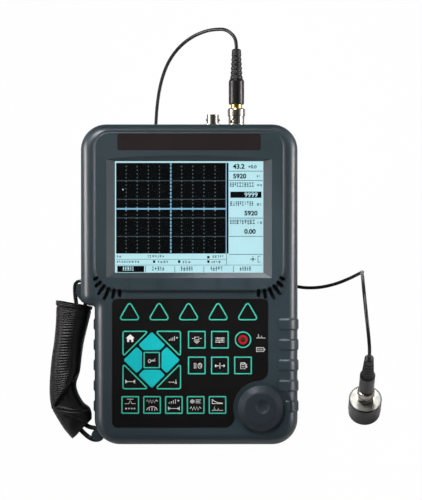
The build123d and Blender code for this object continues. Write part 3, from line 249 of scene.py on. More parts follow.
dress(case_abs, "front_shell", "rear_shell", "battery_door")
dress(knob_abs, "knob")
dress(overlay, "keypad_panel", "lcd_module")
dress(plate_sheet, "nameplate")
dress(gasket_rubber, "case_gasket")
dress(turned_steel, "encoder_shaft", "encoder_body", "case_screws")
dress(board_resist, "main_board")
dress(battery_wrap, "battery_pack")
dress(powder_coat, "kickstand")
dress(nickel, "top_sockets", "probe_socket", "plug_a_nut", "plug_b_nut")
dress(satin_nickel, "probe_cap")
dress(gold, "plug_ferrules")
dress(insulator_ptfe, "socket_insulators")
dress(black_anodised, "plug_a_barrel", "plug_b_barrel", "probe_case", "probe_sole")
dress(boot_pvc, "plug_a_boot", "plug_b_boot")
dress(tie_nylon, "coil_tie")
for node_name in nodes:
    if node_name.startswith("arrow_key"):
        dress(teal_overlay, node_name)
    elif "_key" in node_name and node_name != "keypad_panel" or node_name == "centre_key":
        dress(key_overlay, node_name)

# Window: clear acrylic, which hardly mirrors, so that the display stays readable.
window_acrylic, window_tree = blank("clear acrylic")
window_shader = add(window_tree, "BsdfPrincipled", Base_Color=colour("#f4f8f8"), Roughness=0.03, IOR=1.49,
                    Specular_IOR_Level=0.2, Transmission_Weight=1.0)
close(window_tree, window_shader.outputs["BSDF"])
dress(window_acrylic, "screen_window")

# Lead, one curve from the plug's boot on the case, through the coil behind it, to the boot on the probe
LEAD_D = 2.8
UPPER_ROUTE = (
    (34.8, 251.0, 203.1),
    (28.8, 256.4, 203.7),
    (20.9, 259.8, 199.6),
    (13.4, 262.6, 194.4),
    (4.0, 264.7, 186.2),
    (-4.8, 265.8, 175.6),
    (-12.0, 266.4, 163.4),
    (-17.8, 266.3, 150.0),
    (-21.9, 266.0, 135.3),
    (-24.9, 265.7, 119.6),
    (-27.0, 265.0, 103.2),
    (-28.4, 264.1, 86.3),
    (-29.3, 262.3, 69.0),
    (-29.5, 258.8, 52.2),
    (-29.3, 252.8, 36.6),
    (-28.8, 243.6, 23.0),
    (-28.5, 231.6, 14.4),
)
LOWER_ROUTE = (
    (7.0, 186.2, 2.6),
    (24.0, 183.9, 1.6),
    (40.5, 176.6, 1.4),
    (56.0, 165.6, 1.4),
    (72.0, 154.0, 1.4),
    (89.0, 145.4, 1.4),
    (106.5, 144.9, 1.4),
    (121.0, 148.6, 1.7),
    (131.5, 151.0, 5.6),
    (139.0, 150.6, 13.0),
    (142.6, 147.0, 22.2),
    (141.8, 138.0, 34.8),
    (140.4, 126.4, 51.4),
    (139.0, 113.4, 68.6),
    (137.9, 99.8, 86.6),
    (137.0, 86.2, 101.4),
    (136.6, 71.6, 111.2),
    (137.0, 56.2, 114.8),
    (138.0, 42.0, 112.0),
    (139.6, 31.4, 103.2),
)
BOOT_TOP = 61.0
CASE_SOCKET = (37.3, 251.0, 25.0)
PROBE_H = 20.0
CASE_EXIT_RUN = 5.7
PROBE_EXIT_RUN = 9.0

# Coil: turns lie in ten places of a round bundle, four rows high and two or three across, and step to the
# next place once in each turn. A place is given inward from the coil's radius and up from the table.
COIL_MIDDLE = (-10.5, 205.0)
COIL_R = 15.3
COIL_POINTS = 16
COIL_PLACES = ((-1.4, 10.3), (1.4, 10.3), (2.8, 7.8), (0.0, 7.8), (-2.8, 7.8), (-2.8, 5.0), (0.0, 5.0),
               (2.8, 5.0), (1.4, 2.5), (-1.4, 2.5))
COIL_START = 165.0
COIL_TURNS = 9.32


def coil_points():
    """The coil's route on the table, with a short step at the middle of each turn."""
    points = []
    steps = round(COIL_TURNS * COIL_POINTS)
    for step in range(steps + 1):
        turn = COIL_TURNS * step / steps
        place = min(int(turn), len(COIL_PLACES) - 1)
        after = min(place + 1, len(COIL_PLACES) - 1)
        part = turn - place
        blend = min(1, max(0, (part - 0.35) / 0.3))
        blend = blend * blend * (3 - 2 * blend)
        out = COIL_PLACES[place][0] * (1 - blend) + COIL_PLACES[after][0] * blend
        up = COIL_PLACES[place][1] * (1 - blend) + COIL_PLACES[after][1] * blend
        angle = math.radians(COIL_START + 360 * turn)
        radius = COIL_R - out
        across, along = radius * math.cos(angle), radius * math.sin(angle)
        points.append((COIL_MIDDLE[0] + across, COIL_MIDDLE[1] + along, up))
    return points


lead_exit = on_case(CASE_SOCKET[0], CASE_SOCKET[1] + BOOT_TOP, CASE_SOCKET[2])
lead_points = [lead_exit, on_case(CASE_SOCKET[0], CASE_SOCKET[1] + BOOT_TOP + CASE_EXIT_RUN, CASE_SOCKET[2])]
lead_points += [on_table(*point) for point in (*UPPER_ROUTE, *coil_points(), *LOWER_ROUTE)]
lead_points.append(on_table(*PROBE_AT, PROBE_H + BOOT_TOP + PROBE_EXIT_RUN))
lead_points.append(on_table(*PROBE_AT, PROBE_H + BOOT_TOP))

lead_data = bpy.data.curves.new("lead", "CURVE")
lead_data.dimensions = "3D"
lead_data.bevel_depth = LEAD_D / 2 * MM
lead_data.bevel_resolution = 5
lead_data.resolution_u = 6
lead_data.render_resolution_u = 6
lead_line = lead_data.splines.new("NURBS")
lead_line.points.add(len(lead_points) - 1)
for control, point in zip(lead_line.points, lead_points):
    control.co = (*point, 1)
lead_line.order_u = 3
lead_line.use_endpoint_u = True
lead_line.use_smooth = True
lead_data.materials.append(cable_pvc)
lead = linked("lead", lead_data)
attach(lead, "case")
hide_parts("lead_upper", "lead_lower", "lead_coil")


def select_none():
    bpy.ops.object.select_all(action="DESELECT")


def take(piece):
    """Selects one piece alone and makes it the active one."""
    select_none()
    piece.select_set(True)
    bpy.context.view_layer.objects.active = piece


def mesh_of(name, data):
    """A new piece, made into a mesh from a curve."""
    take(linked(name, data))
    bpy.ops.object.convert(target="MESH")
    return bpy.context.object


def turned_outward():
    """Merges the doubled points of the piece in hand and turns its faces outward."""
    bpy.ops.object.mode_set(mode="EDIT")
    bpy.ops.mesh.select_all(action="SELECT")
    bpy.ops.mesh.remove_doubles(threshold=0.001 * MM)
    bpy.ops.mesh.normals_make_consistent(inside=False)
    bpy.ops.object.mode_set(mode="OBJECT")


def joined(pieces, name):
    """One piece out of several, each with its own materials."""
    select_none()
    for piece in pieces:
        piece.select_set(True)
    bpy.context.view_layer.objects.active = pieces[0]
    if len(pieces) > 1:
        bpy.ops.object.join()
    whole = bpy.context.object
    whole.name = name
    whole.data.name = name
    return whole


def put_on_case(piece, x, u, n):
    """Lays a flat piece, modelled about the origin, on the case's face."""
    piece.matrix_world = case_frame @ Matrix.Translation(Vector((x, u, n)) * MM)
    take(piece)
    bpy.ops.object.transform_apply(location=True, rotation=True, scale=True)


def centred(piece):
    """Moves the mesh so that the middle of its box is at the origin."""
    spots = [vertex.co for vertex in piece.data.vertices]
    middle = [(min(spot[axis] for spot in spots) + max(spot[axis] for spot in spots)) / 2 for axis in (0, 1)]
    piece.data.transform(Matrix.Translation((-middle[0], -middle[1], 0)))


# Prints on the keys, in millimetres. Each ring lies inset from its key's edge.
INK_T = 0.08
RING_INSET = 0.25
RING_W = 0.9
SIGN_W = 0.42
DOUBLE_SIGN_W = 0.4
DOME_RIM_R = 0.35
SOFT_KEY_SIDE = 18.8
SOFT_KEY_ROUND = 4.1
SQUARE_KEY_SIDE = 14.3
SQUARE_KEY_ROUND = 1.15
SQUARE_DOME_SHARE = 0.36
DOUBLE_SIGN_RISE = 2.75
CENTRE_KEY_SIDE = 13.3
CORNER_LEG = 21.9
CORNER_ROUND = 2.9
CORNER_DOME_R = 5.0
CORNER_SIGN_AT = 7.4
ARROW_DOME_R = 4.9
ARROW_DOME_SHIFT = 0.85
POWER_RING_R = 6.45
RED_RING_R = 3.75
RED_RING_W = 1.9
GREEN_DOT_R = 0.7
GREEN_DOT_W = 1.3
LENS_R = 0.9
LENS_TO_SIGN = 4.6


def ink_ring(sides, stretch, corner_r, turn, ink, width=RING_W):
    """Outline of a key: a circle of few or many points, stretched to size, rounded, and cleared inside."""
    select_none()
    bpy.ops.mesh.primitive_circle_add(vertices=sides, radius=MM, fill_type="NGON")
    ring = bpy.context.object
    bpy.ops.object.mode_set(mode="EDIT")
    bpy.ops.mesh.select_all(action="SELECT")
    if sides == 4:
        bpy.ops.transform.rotate(value=math.pi / 4, orient_axis="Z", center_override=(0, 0, 0))
    bpy.ops.transform.resize(value=(stretch[0], stretch[1], 1))
    if corner_r:
        bpy.ops.mesh.bevel(offset=corner_r * MM, offset_type="WIDTH", segments=6, affect="VERTICES")
    bpy.ops.mesh.inset(thickness=width * MM)
    bpy.ops.mesh.delete(type="FACE")
    bpy.ops.mesh.select_all(action="SELECT")
    bpy.ops.transform.rotate(value=-turn, orient_axis="Z", center_override=(0, 0, 0))
    bpy.ops.mesh.extrude_region_move(TRANSFORM_OT_translate={"value": (0, 0, INK_T * MM)})
    bpy.ops.object.mode_set(mode="OBJECT")
    turned_outward()
    centred(ring)
    ring.data.materials.append(ink)
    return ring


def dome_ring(radius, material):
    """Embossed edge of the dome under a key."""
    select_none()
    bpy.ops.mesh.primitive_torus_add(major_radius=radius * MM, minor_radius=DOME_RIM_R * MM, major_segments=64,
                                     minor_segments=8)
    dome = bpy.context.object
    bpy.ops.object.mode_set(mode="EDIT")
    bpy.ops.mesh.select_all(action="SELECT")
    bpy.ops.transform.resize(value=(1, 1, 0.4))
    bpy.ops.object.mode_set(mode="OBJECT")
    dome.data.materials.append(material)
    return dome


def strokes(lines, ink, weight, scale=(1, 1), shift=(0, 0)):
    """Fine printed lines, each a row of points in millimetres."""
    data = bpy.data.curves.new("strokes", "CURVE")
    data.dimensions = "3D"
    data.bevel_depth = weight / 2 * MM
    data.bevel_resolution = 1
    data.use_fill_caps = True
    for line in lines:
        row = data.splines.new("POLY")
        row.points.add(len(line) - 1)
        for spot, (x, y) in zip(row.points, line):
            spot.co = ((x * scale[0] + shift[0]) * MM, (y * scale[1] + shift[1]) * MM, 0, 1)
    made = mesh_of("strokes", data)
    made.data.transform(Matrix.Diagonal((1, 1, INK_T / weight, 1)))
    made.data.materials.append(ink)
    return made


def circle_line(x, y, radius, points=14):
    """Points around a circle, the first one again at the end."""
    line = []
    for step in range(points + 1):
        angle = math.radians(360 * step / points)
        line.append((x + radius * math.cos(angle), y + radius * math.sin(angle)))
    return line


# Plain signs of what the keys do, drawn in a field 8 mm wide and 4 mm tall
ECHO = [[(-4, -1.6), (-2.6, -1.6), (-2.2, 1.9), (-1.7, -1.6), (0.2, -1.6), (0.6, 0.6), (1, -1.6), (4, -1.6)]]
GATE = [[(-3.6, 0), (-3.6, -1)], [(-3.6, -0.5), (0.4, -0.5)], [(0.4, 0), (0.4, -1)],
        [(1.6, -1.8), (2.2, 1.8), (2.8, -1.8)]]
GAIN = [[(-3.4, -1.8), (-3.4, -0.6)], [(-1.9, -1.8), (-1.9, 0.2)], [(-0.4, -1.8), (-0.4, 1)],
        [(1.1, -1.8), (1.1, 1.8)], [(2.4, 0.6), (4, 0.6)], [(3.2, -0.2), (3.2, 1.4)]]
SPAN = [[(-3.8, 0), (3.8, 0)], [(-2.8, 0.9), (-3.8, 0), (-2.8, -0.9)], [(2.8, 0.9), (3.8, 0), (2.8, -0.9)],
        [(-4, 1.6), (-4, -1.6)], [(4, 1.6), (4, -1.6)]]
PROBE = [[(-1.6, 1.8), (1.6, 1.8), (1.6, 0.2), (-1.6, 0.2), (-1.6, 1.8)], [(-2.4, -0.6), (2.4, -0.6)],
         [(-1.4, -1.3), (1.4, -1.3)], [(-0.5, -1.9), (0.5, -1.9)], [(2.4, 1), (3.8, 1)], [(-3.8, 1), (-2.4, 1)]]
TUNE = [[(-3.6, 1.2), (3.6, 1.2)], [(-3.6, 0), (3.6, 0)], [(-3.6, -1.2), (3.6, -1.2)],
        [(-1.8, 1.7), (-1.8, 0.7)], [(1.6, 0.5), (1.6, -0.5)], [(-0.4, -0.7), (-0.4, -1.7)]]
HOLD = [[(-2, 1.7), (-2, -1.7)], [(-0.7, 1.7), (-0.7, -1.7)], circle_line(2.4, 0, 1.5),
        [(2.4, 1.1), (2.4, 0), (3.2, -0.5)]]
SPREAD = [[(-0.8, 0), (-3.8, 0)], [(-2.9, 0.8), (-3.8, 0), (-2.9, -0.8)], [(0.8, 0), (3.8, 0)],
          [(2.9, 0.8), (3.8, 0), (2.9, -0.8)], [(0, 1.8), (0, -1.8)]]
STORE = [[(-1.8, 1.8), (1.3, 1.8), (1.8, 1.3), (1.8, -1.8), (-1.8, -1.8), (-1.8, 1.8)],
         [(-0.9, 1.8), (-0.9, 0.7), (0.8, 0.7), (0.8, 1.8)], [(-1, -0.6), (1, -0.6)], [(2.8, 1), (2.8, -1)],
         [(2.3, -0.5), (2.8, -1.1), (3.3, -0.5)]]
PEAK = [[(-4, -1.8), (-1, -1.8), (0, 1.6), (1, -1.8), (4, -1.8)], [(-2.4, 1.9), (2.4, 1.9)]]
ENVELOPE = [[(-4, -1.4), (-3, 0.4), (-1, 1.5), (1, 1.5), (3, 0.4), (4, -1.4)], [(-2, -1.8), (-2, 0.2)],
            [(0, -1.8), (0, 0.9)], [(2, -1.8), (2, 0.2)]]
CURVE = [[(-3.8, 1.8), (-2.4, 0.2), (-0.4, -0.8), (3.8, -1.4)], [(-3.8, -1.8), (3.8, -1.8)],
         [(-3.8, 1.8), (-3.8, -1.8)]]
DOTS = [circle_line(x, 0, 0.45, 8) for x in (-3, -1, 1, 3)]
RECORD = [circle_line(-2.4, 0, 1.3), circle_line(-2.4, 0, 0.5, 8), [(0, 1.2), (3.8, 1.2)], [(0, 0), (3, 0)],
          [(0, -1.2), (3.8, -1.2)]]
WAVE = [[(-4, 0), (-3.2, 1.5), (-2.2, -1.5), (-1.2, 1.5), (-0.2, -1.5), (0.8, 1.5), (1.8, -1.5), (2.8, 1.5),
         (4, 0)]]
ENTER = [circle_line(-1.9, -0.4, 1.0, 10), [(-0.9, -0.4), (2.6, -0.4), (2.6, 1.4)], [(1.2, -0.4), (1.2, 0.6)],
         [(0.1, -0.4), (0.1, 0.4)]]
BATTERY = [[(-3.8, 1.8), (2.9, 1.8), (2.9, -1.8), (-3.8, -1.8), (-3.8, 1.8)], [(3.7, 0.7), (3.7, -0.7)],
           [(-2.3, 0.8), (-2.3, -0.8)], [(-0.6, 0.8), (-0.6, -0.8)], [(1.1, 0.8), (1.1, -0.8)]]
HOUSE = ((0, 2.7), (2.9, 0.2), (2, 0.2), (2, -2.3), (0.7, -2.3), (0.7, -0.8), (-0.7, -0.8), (-0.7, -2.3),
         (-2, -2.3), (-2, 0.2), (-2.9, 0.2))
HOUSE_SCALE = 1.2

# Inks: screen-printed on the overlay, flat and a little raised. Teal outlines, white signs, and a red ring
# around the green dot of the power key.
teal_ink = printed("teal screen ink", "#3cc8ae", 0.45)
white_ink = printed("white screen ink", "#f6f6f6", 0.5)
red_ink = printed("red screen ink", "#a5121c", 0.45)
green_ink = printed("green screen ink", "#12301c", 0.45)


def solid_house(spot):
    """The sign for home, filled, about a point in millimetres."""
    data = bpy.data.curves.new("house", "CURVE")
    data.dimensions = "2D"
    data.fill_mode = "BOTH"
    data.extrude = INK_T / 2 * MM
    row = data.splines.new("POLY")
    row.points.add(len(HOUSE) - 1)
    for point, (x, y) in zip(row.points, HOUSE):
        point.co = ((x * HOUSE_SCALE + spot[0]) * MM, (y * HOUSE_SCALE + spot[1]) * MM, 0, 1)
    row.use_cyclic_u = True
    house = mesh_of("house", data)
    house.data.materials.append(white_ink)
    return house


def key_print(node, parts):
    """Lays the prints of one key on it, where they move with it."""
    whole = joined(parts, node + "_print")
    middle = case_middle_of(node)
    put_on_case(whole, middle.x, middle.y, KEY_FACE)
    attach(whole, node)


def square_print(node, signs, side=SQUARE_KEY_SIDE):
    """Outline of a square key, with one sign over a dome or two signs, one above the other."""
    reach = (side - 2 * RING_INSET) / math.sqrt(2)
    parts = [ink_ring(4, (reach, reach), SQUARE_KEY_ROUND, 0, teal_ink)]
    if len(signs) == 1:
        parts.append(dome_ring(side * SQUARE_DOME_SHARE, key_overlay))
        scale = side / SQUARE_KEY_SIDE
        parts.append(strokes(signs[0], white_ink, SIGN_W, (scale, 1.3 * scale), (0, -0.3)))
    else:
        for sign, rise in zip(signs, (DOUBLE_SIGN_RISE, -DOUBLE_SIGN_RISE)):
            parts.append(strokes(sign, white_ink, DOUBLE_SIGN_W, (1.08, 0.95), (0, rise)))
    key_print(node, parts)


for number in range(1, 6):
    reach = (SOFT_KEY_SIDE - 2 * RING_INSET * math.sqrt(3)) / math.sqrt(3)
    key_print(f"soft_key_{number}", [ink_ring(3, (reach, reach), SOFT_KEY_ROUND, 0, teal_ink)])
square_print("centre_key", [ENTER], CENTRE_KEY_SIDE)
square_print("upper_key_1", [PROBE])
square_print("upper_key_2", [TUNE])
square_print("middle_key_1", [HOLD])
square_print("middle_key_2", [SPREAD])
square_print("middle_key_3", [STORE])
square_print("lower_key_1", [PEAK, DOTS])
square_print("lower_key_2", [WAVE, ENVELOPE])
square_print("lower_key_3", [GAIN, SPAN])
square_print("lower_key_4", [RECORD, WAVE])
square_print("lower_key_5", [CURVE, ECHO])

CORNER_SIGNS = (("upper_left", None), ("lower_left", SPAN), ("lower_right", GATE), ("upper_right", GAIN))
for index, (side_name, sign) in enumerate(CORNER_SIGNS):
    turn = math.radians(45 + 90 * index)
    leg = CORNER_LEG - RING_INSET * (2 + math.sqrt(2))
    base = leg * math.sqrt(2)
    out_x = -1 if index in (0, 1) else 1
    out_u = 1 if index in (0, 3) else -1
    out = CORNER_LEG / 2 - CORNER_SIGN_AT
    spot = (out_x * out, out_u * out)
    parts = [ink_ring(3, (base / math.sqrt(3), base / 3), CORNER_ROUND, turn, teal_ink)]
    dome = dome_ring(CORNER_DOME_R, key_overlay)
    dome.data.transform(Matrix.Translation((spot[0] * MM, spot[1] * MM, 0)))
    parts.append(dome)
    if sign:
        parts.append(strokes(sign, white_ink, SIGN_W, (0.9, 0.95), spot))
    else:
        parts.append(solid_house(spot))
    key_print("corner_key_" + side_name, parts)

for side_name, x, y in (("up", 0, -1), ("left", 1, 0), ("down", 0, 1), ("right", -1, 0)):
    dome = dome_ring(ARROW_DOME_R, teal_overlay)
    dome.data.transform(Matrix.Translation(Vector((x, y, 0)) * ARROW_DOME_SHIFT * MM))
    key_print("arrow_key_" + side_name, [dome])

power_ring = ink_ring(48, (POWER_RING_R, POWER_RING_R), 0, 0, teal_ink)
red_ring = ink_ring(32, (RED_RING_R, RED_RING_R), 0, 0, red_ink, RED_RING_W)
green_dot = strokes([circle_line(0, 0, GREEN_DOT_R, 12)], green_ink, GREEN_DOT_W)
key_print("power_key", [power_ring, red_ring, green_dot])

# Two small lamps in the panel, each with a sign under it
lamp_parts = []
for x, u, sign in ((56.1, 89.6, ECHO), (55.9, 79.2, BATTERY)):
    lens = dome_ring(LENS_R, key_overlay)
    lens.data.transform(Matrix.Translation((x * MM, u * MM, 0)))
    lamp_parts.append(lens)
    lamp_parts.append(strokes(sign, white_ink, SIGN_W, (0.86, 0.86), (x, u - LENS_TO_SIGN)))
panel_signs = joined(lamp_parts, "panel_signs")
put_on_case(panel_signs, 0, 0, PANEL_FACE)
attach(panel_signs, "case")

# Picture on the display, given in dots of its grid, from its upper left corner, and laid in layers over the
# screen's face, with the light ground as the lowest one
LCD_W = 116.0
LCD_H = 87.1
LCD_U = WINDOW_MIDDLE[1]
LCD_DOTS = (320, 240)
DOT_W = LCD_W / LCD_DOTS[0]
DOT_H = LCD_H / LCD_DOTS[1]
LAYER = 0.05
LIFT = 0.02
DIGIT_H = 9.4
DIGIT_WEIGHT = 0.035
DIGIT_EXTRUDE = 0.02


def lit(name, glow):
    """Picture element of a backlit display: it gives light of its own and hardly reflects any."""
    made, tree = blank(name)
    place = add(tree, "TexCoord").outputs["Object"]
    patches = add(tree, "TexNoise", Vector=place, Scale=1 / (14 * MM), Detail=1)
    dimmer = tuple(level * 0.88 for level in colour(glow)[:3]) + (1,)
    tint = add(tree, "MixRGB", Fac=patches.outputs["Fac"], Color1=colour(glow), Color2=dimmer)
    shader = add(tree, "BsdfPrincipled", Base_Color=colour("#0a0c0d"), Roughness=0.4, Specular_IOR_Level=0.0,
                 Emission_Color=tint.outputs["Color"], Emission_Strength=1.1)
    close(tree, shader.outputs["BSDF"])
    return made


# Display: white-blue backlight, black cells, and blues and greys between them for the fine print.
lcd_glow = lit("lit display cells", "#c6f1fa")
lcd_dark = lit("dark display cells", "#010203")
lcd_line = lit("bright display lines", "#84bcdc")
lcd_faint = lit("faint display dots", "#66767e")
lcd_shade = lit("shaded display print", "#2c4c58")
picture = []


def patch(left, top, right, bottom, layer, ink):
    """A flat rectangle of the picture."""
    select_none()
    bpy.ops.mesh.primitive_cube_add(size=1)
    made = bpy.context.object
    size = ((right - left) * DOT_W, (bottom - top) * DOT_H, LAYER * 0.8)
    x = (left + right) / 2 * DOT_W - LCD_W / 2
    u = LCD_U + LCD_H / 2 - (top + bottom) / 2 * DOT_H
    place = Matrix.Translation(Vector((x, u, LIFT + (layer + 0.4) * LAYER)) * MM)
    made.data.transform(place @ Matrix.Diagonal((*(side * MM for side in size), 1)))
    made.data.materials.append(ink)
    picture.append(made)
    return made


def dotted(left, top, across, down, count, step, layer, ink):
    """A row of like patches, made by an array."""
    made = patch(left, top, left + across, top + down, layer, ink)
    row = made.modifiers.new("row", "ARRAY")
    row.use_relative_offset = False
    row.use_constant_offset = True
    row.constant_offset_displace = (step[0] * DOT_W * MM, -step[1] * DOT_H * MM, 0)
    row.count = count
    bpy.ops.object.modifier_apply(modifier=row.name)


def digits(text, left, top, tall, ink, weight):
    """Number on the display, its upper left corner at a dot."""
    select_none()
    bpy.ops.object.text_add()
    made = bpy.context.object
    made.data.body = text
    made.data.offset = weight
    made.data.extrude = DIGIT_EXTRUDE
    bpy.ops.object.convert(target="MESH")
    made = bpy.context.object
    size = tall * DOT_H / 0.7 * MM
    x = left * DOT_W - LCD_W / 2
    u = LCD_U + LCD_H / 2 - (top + tall) * DOT_H
    place = Matrix.Translation(Vector((x, u, LIFT + 2.4 * LAYER)) * MM)
    made.data.transform(place @ Matrix.Diagonal((size * 1.06, size, LAYER * 0.4 * MM / DIGIT_EXTRUDE, 1)))
    made.data.materials.append(ink)
    picture.append(made)


patch(0, 0, *LCD_DOTS, 0, lcd_glow)
patch(2.5, 3.5, 245, 199, 1, lcd_dark)
patch(239, 1.5, 241, 199, 2, lcd_line)
for column in (24, 48, 72, 96, 144, 168, 192, 216):
    dotted(column - 0.9, 10, 1.8, 2.6, 24, (0, 8), 2, lcd_faint)
    patch(column - 0.8, 98, column + 0.8, 107, 2, lcd_line)
for row in (42, 82, 122, 162):
    dotted(4, row - 0.8, 2, 1.6, 59, (4, 0), 2, lcd_faint)
dotted(119, 4, 3, 5.6, 25, (0, 7.8), 2, lcd_line)
patch(3, 100.8, 239, 104.2, 2, lcd_line)
patch(16, 59.6, 18.6, 62.4, 2, lcd_glow)
for line in (21.4, 41.5, 122.5, 161.8, 200.6):
    patch(246, line - 0.6, 319, line + 0.6, 1, lcd_shade)
patch(249, 65.5, 316, 78.8, 1, lcd_dark)
digits("9999", 279, 67.2, 9.6, lcd_glow, 0.012)
digits("43.2", 254.6, 6.2, 9.6, lcd_dark, DIGIT_WEIGHT)
digits("+0.0", 287, 8.4, 6.8, lcd_shade, 0.03)
digits("5920", 254.6, 27.2, DIGIT_H, lcd_dark, DIGIT_WEIGHT)
digits("5920", 279, 107, DIGIT_H, lcd_dark, DIGIT_WEIGHT)
digits("0.00", 279, 146.4, DIGIT_H, lcd_dark, DIGIT_WEIGHT)

# Wording on the display is left as rows of short bars.
random.seed(7)


def worded(left, top, right, tall, ink):
    """Bars in place of words: pairs of short strokes with gaps between them."""
    x = left
    while x < right - 3:
        wide = random.uniform(2.5, 5.5)
        for part in range(3):
            if random.random() < 0.75:
                rise = top + tall * part / 3
                patch(x, rise, min(x + wide, right), rise + tall * 0.17, 2, ink)
        patch(x + wide * 0.4, top, x + wide * 0.4 + 1.1, top + tall * random.uniform(0.6, 0.95), 2, ink)
        x += wide + 1.6


for top in (45.8, 86.5, 126):
    worded(248, top, 302, 11, lcd_shade)
    worded(306, top + 4, 318, 6, lcd_shade)
worded(306, 30, 318, 5, lcd_shade)
patch(2, 211, 239, 211.8, 1, lcd_shade)
patch(240, 200, 241, 223, 1, lcd_shade)
patch(2, 223.3, 318, 224.1, 1, lcd_shade)
worded(4, 203, 18, 5, lcd_shade)
worded(70, 202.5, 108, 6, lcd_shade)
worded(4, 214.5, 52, 5, lcd_shade)
worded(92, 214.5, 118, 5.5, lcd_shade)
worded(146, 214.5, 164, 5.5, lcd_shade)
worded(210, 203, 236, 6, lcd_shade)
worded(208, 214.5, 232, 5.5, lcd_shade)
for left, top in ((82, 213.5), (136, 213.5), (199, 204), (199, 213.5)):
    patch(left, top, left + 5, top + 5.5, 2, lcd_dark)
patch(295, 208.5, 300, 213.5, 2, lcd_dark)
patch(296.6, 210.1, 298.4, 211.9, 3, lcd_glow)
for left, top in ((296.7, 205), (296.7, 214.6), (291.6, 210.2), (301.8, 210.2)):
    patch(left, top, left + 1.7, top + 1.7, 2, lcd_dark)
patch(308, 204, 309, 218, 2, lcd_dark)
patch(308, 204, 314, 205, 2, lcd_dark)
patch(308, 217, 314, 218, 2, lcd_dark)
patch(5, 225.5, 63, 239, 1, lcd_dark)
worded(17, 227, 44, 10, lcd_glow)
for line in (66.2, 129, 191.8, 255.7):
    patch(line - 0.5, 226, line + 0.5, 239, 2, lcd_dark)
for left, right in ((80, 106), (142, 168), (206, 232), (269, 295)):
    worded(left, 227, right, 10, lcd_shade)

display_picture = joined(picture, "display_picture")
put_on_case(display_picture, 0, 0, SCREEN_FACE)
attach(display_picture, "case")

# Hand strap: the webbing and the sleeve have their middle at this height over the back.
STRAP_N = 26.0


def woven(name, base, thread, rib_mm):
    """Nylon webbing: ribs of yarn across its length and the threads that bind them, on the piece's own UV."""
    made, tree = blank(name)
    place = add(tree, "UVMap").outputs["UV"]
    axes = add(tree, "SeparateXYZ", Vector=place)
    along_turns, across_turns = 2 * math.pi / (rib_mm * MM), 2 * math.pi / (rib_mm * 1.1 * MM)
    along = add(tree, "Math", operation="MULTIPLY", in0=axes.outputs["X"], in1=along_turns)
    across = add(tree, "Math", operation="MULTIPLY", in0=axes.outputs["Y"], in1=across_turns)
    slant = add(tree, "Math", operation="ADD", in0=along.outputs[0], in1=across.outputs[0])
    rib = add(tree, "Math", operation="SINE", in0=slant.outputs[0])
    bind = add(tree, "Math", operation="SINE", in0=across.outputs[0])
    relief = add(tree, "Math", operation="MULTIPLY_ADD", in0=rib.outputs[0], in1=0.3, in2=0.5)
    relief = add(tree, "Math", operation="MULTIPLY_ADD", in0=bind.outputs[0], in1=0.2, in2=relief.outputs[0])
    tint = add(tree, "MixRGB", Fac=relief.outputs[0], Color1=colour(base), Color2=colour(thread))
    bump = add(tree, "Bump", Height=relief.outputs[0], Distance=0.25 * MM, Strength=0.9)
    shader = add(tree, "BsdfPrincipled", Base_Color=tint.outputs["Color"], Roughness=0.7, Sheen_Weight=0.3,
                 Sheen_Roughness=0.4, Specular_IOR_Level=0.3, Normal=bump.outputs["Normal"])
    close(tree, shader.outputs["BSDF"])
    return made


# Webbing: black nylon, ribbed about every 1.2 mm.
nylon_webbing = woven("woven nylon webbing", "#08080a", "#17171a", 1.2)
WEB_W = 24.0
WEB_T = 2.4
WEB_STEPS = 12
# Across and up the face: over the upper bar, down through the sleeve, around the lower bar and up again
WEB_ROUTE = (
    (-82.3, 111.5),
    (-82.3, 127.8),
    (-90.9, 127.8),
    (-90.9, 116.5),
    (-89.2, 107.0),
    (-94.0, 92.0),
    (-97.6, 75.0),
    (-99.8, 60.0),
    (-101.2, 45.0),
    (-99.4, 31.2),
    (-93.6, 19.0),
    (-86.0, 9.0),
    (-78.0, 2.1),
    (-71.1, 1.5),
    (-67.5, 5.5),
    (-69.9, 10.7),
    (-76.0, 11.1),
    (-82.6, 13.0),
    (-89.4, 22.6),
    (-94.4, 33.2),
    (-96.0, 45.0),
    (-95.0, 60.0),
    (-92.4, 75.0),
    (-88.4, 92.0),
    (-83.6, 103.5),
)


def line_through(points, closed, fine):
    """Points along the smooth curve that a row of control points gives."""
    data = bpy.data.curves.new("line", "CURVE")
    data.dimensions = "3D"
    data.resolution_u = fine
    row = data.splines.new("NURBS")
    row.points.add(len(points) - 1)
    for control, point in zip(row.points, points):
        control.co = (*point, 1)
    row.order_u = 3
    row.use_cyclic_u = closed
    row.use_endpoint_u = not closed
    holder = linked("line", data)
    mesh = bpy.data.meshes.new_from_object(holder)
    spots = [vertex.co.copy() for vertex in mesh.vertices]
    bpy.data.objects.remove(holder)
    return spots


def new_piece(name, bm):
    """A smooth-shaded piece from a mesh in the making."""
    mesh = bpy.data.meshes.new(name)
    bm.to_mesh(mesh)
    bm.free()
    made = linked(name, mesh)
    take(made)
    for face in mesh.polygons:
        face.use_smooth = True
    return made


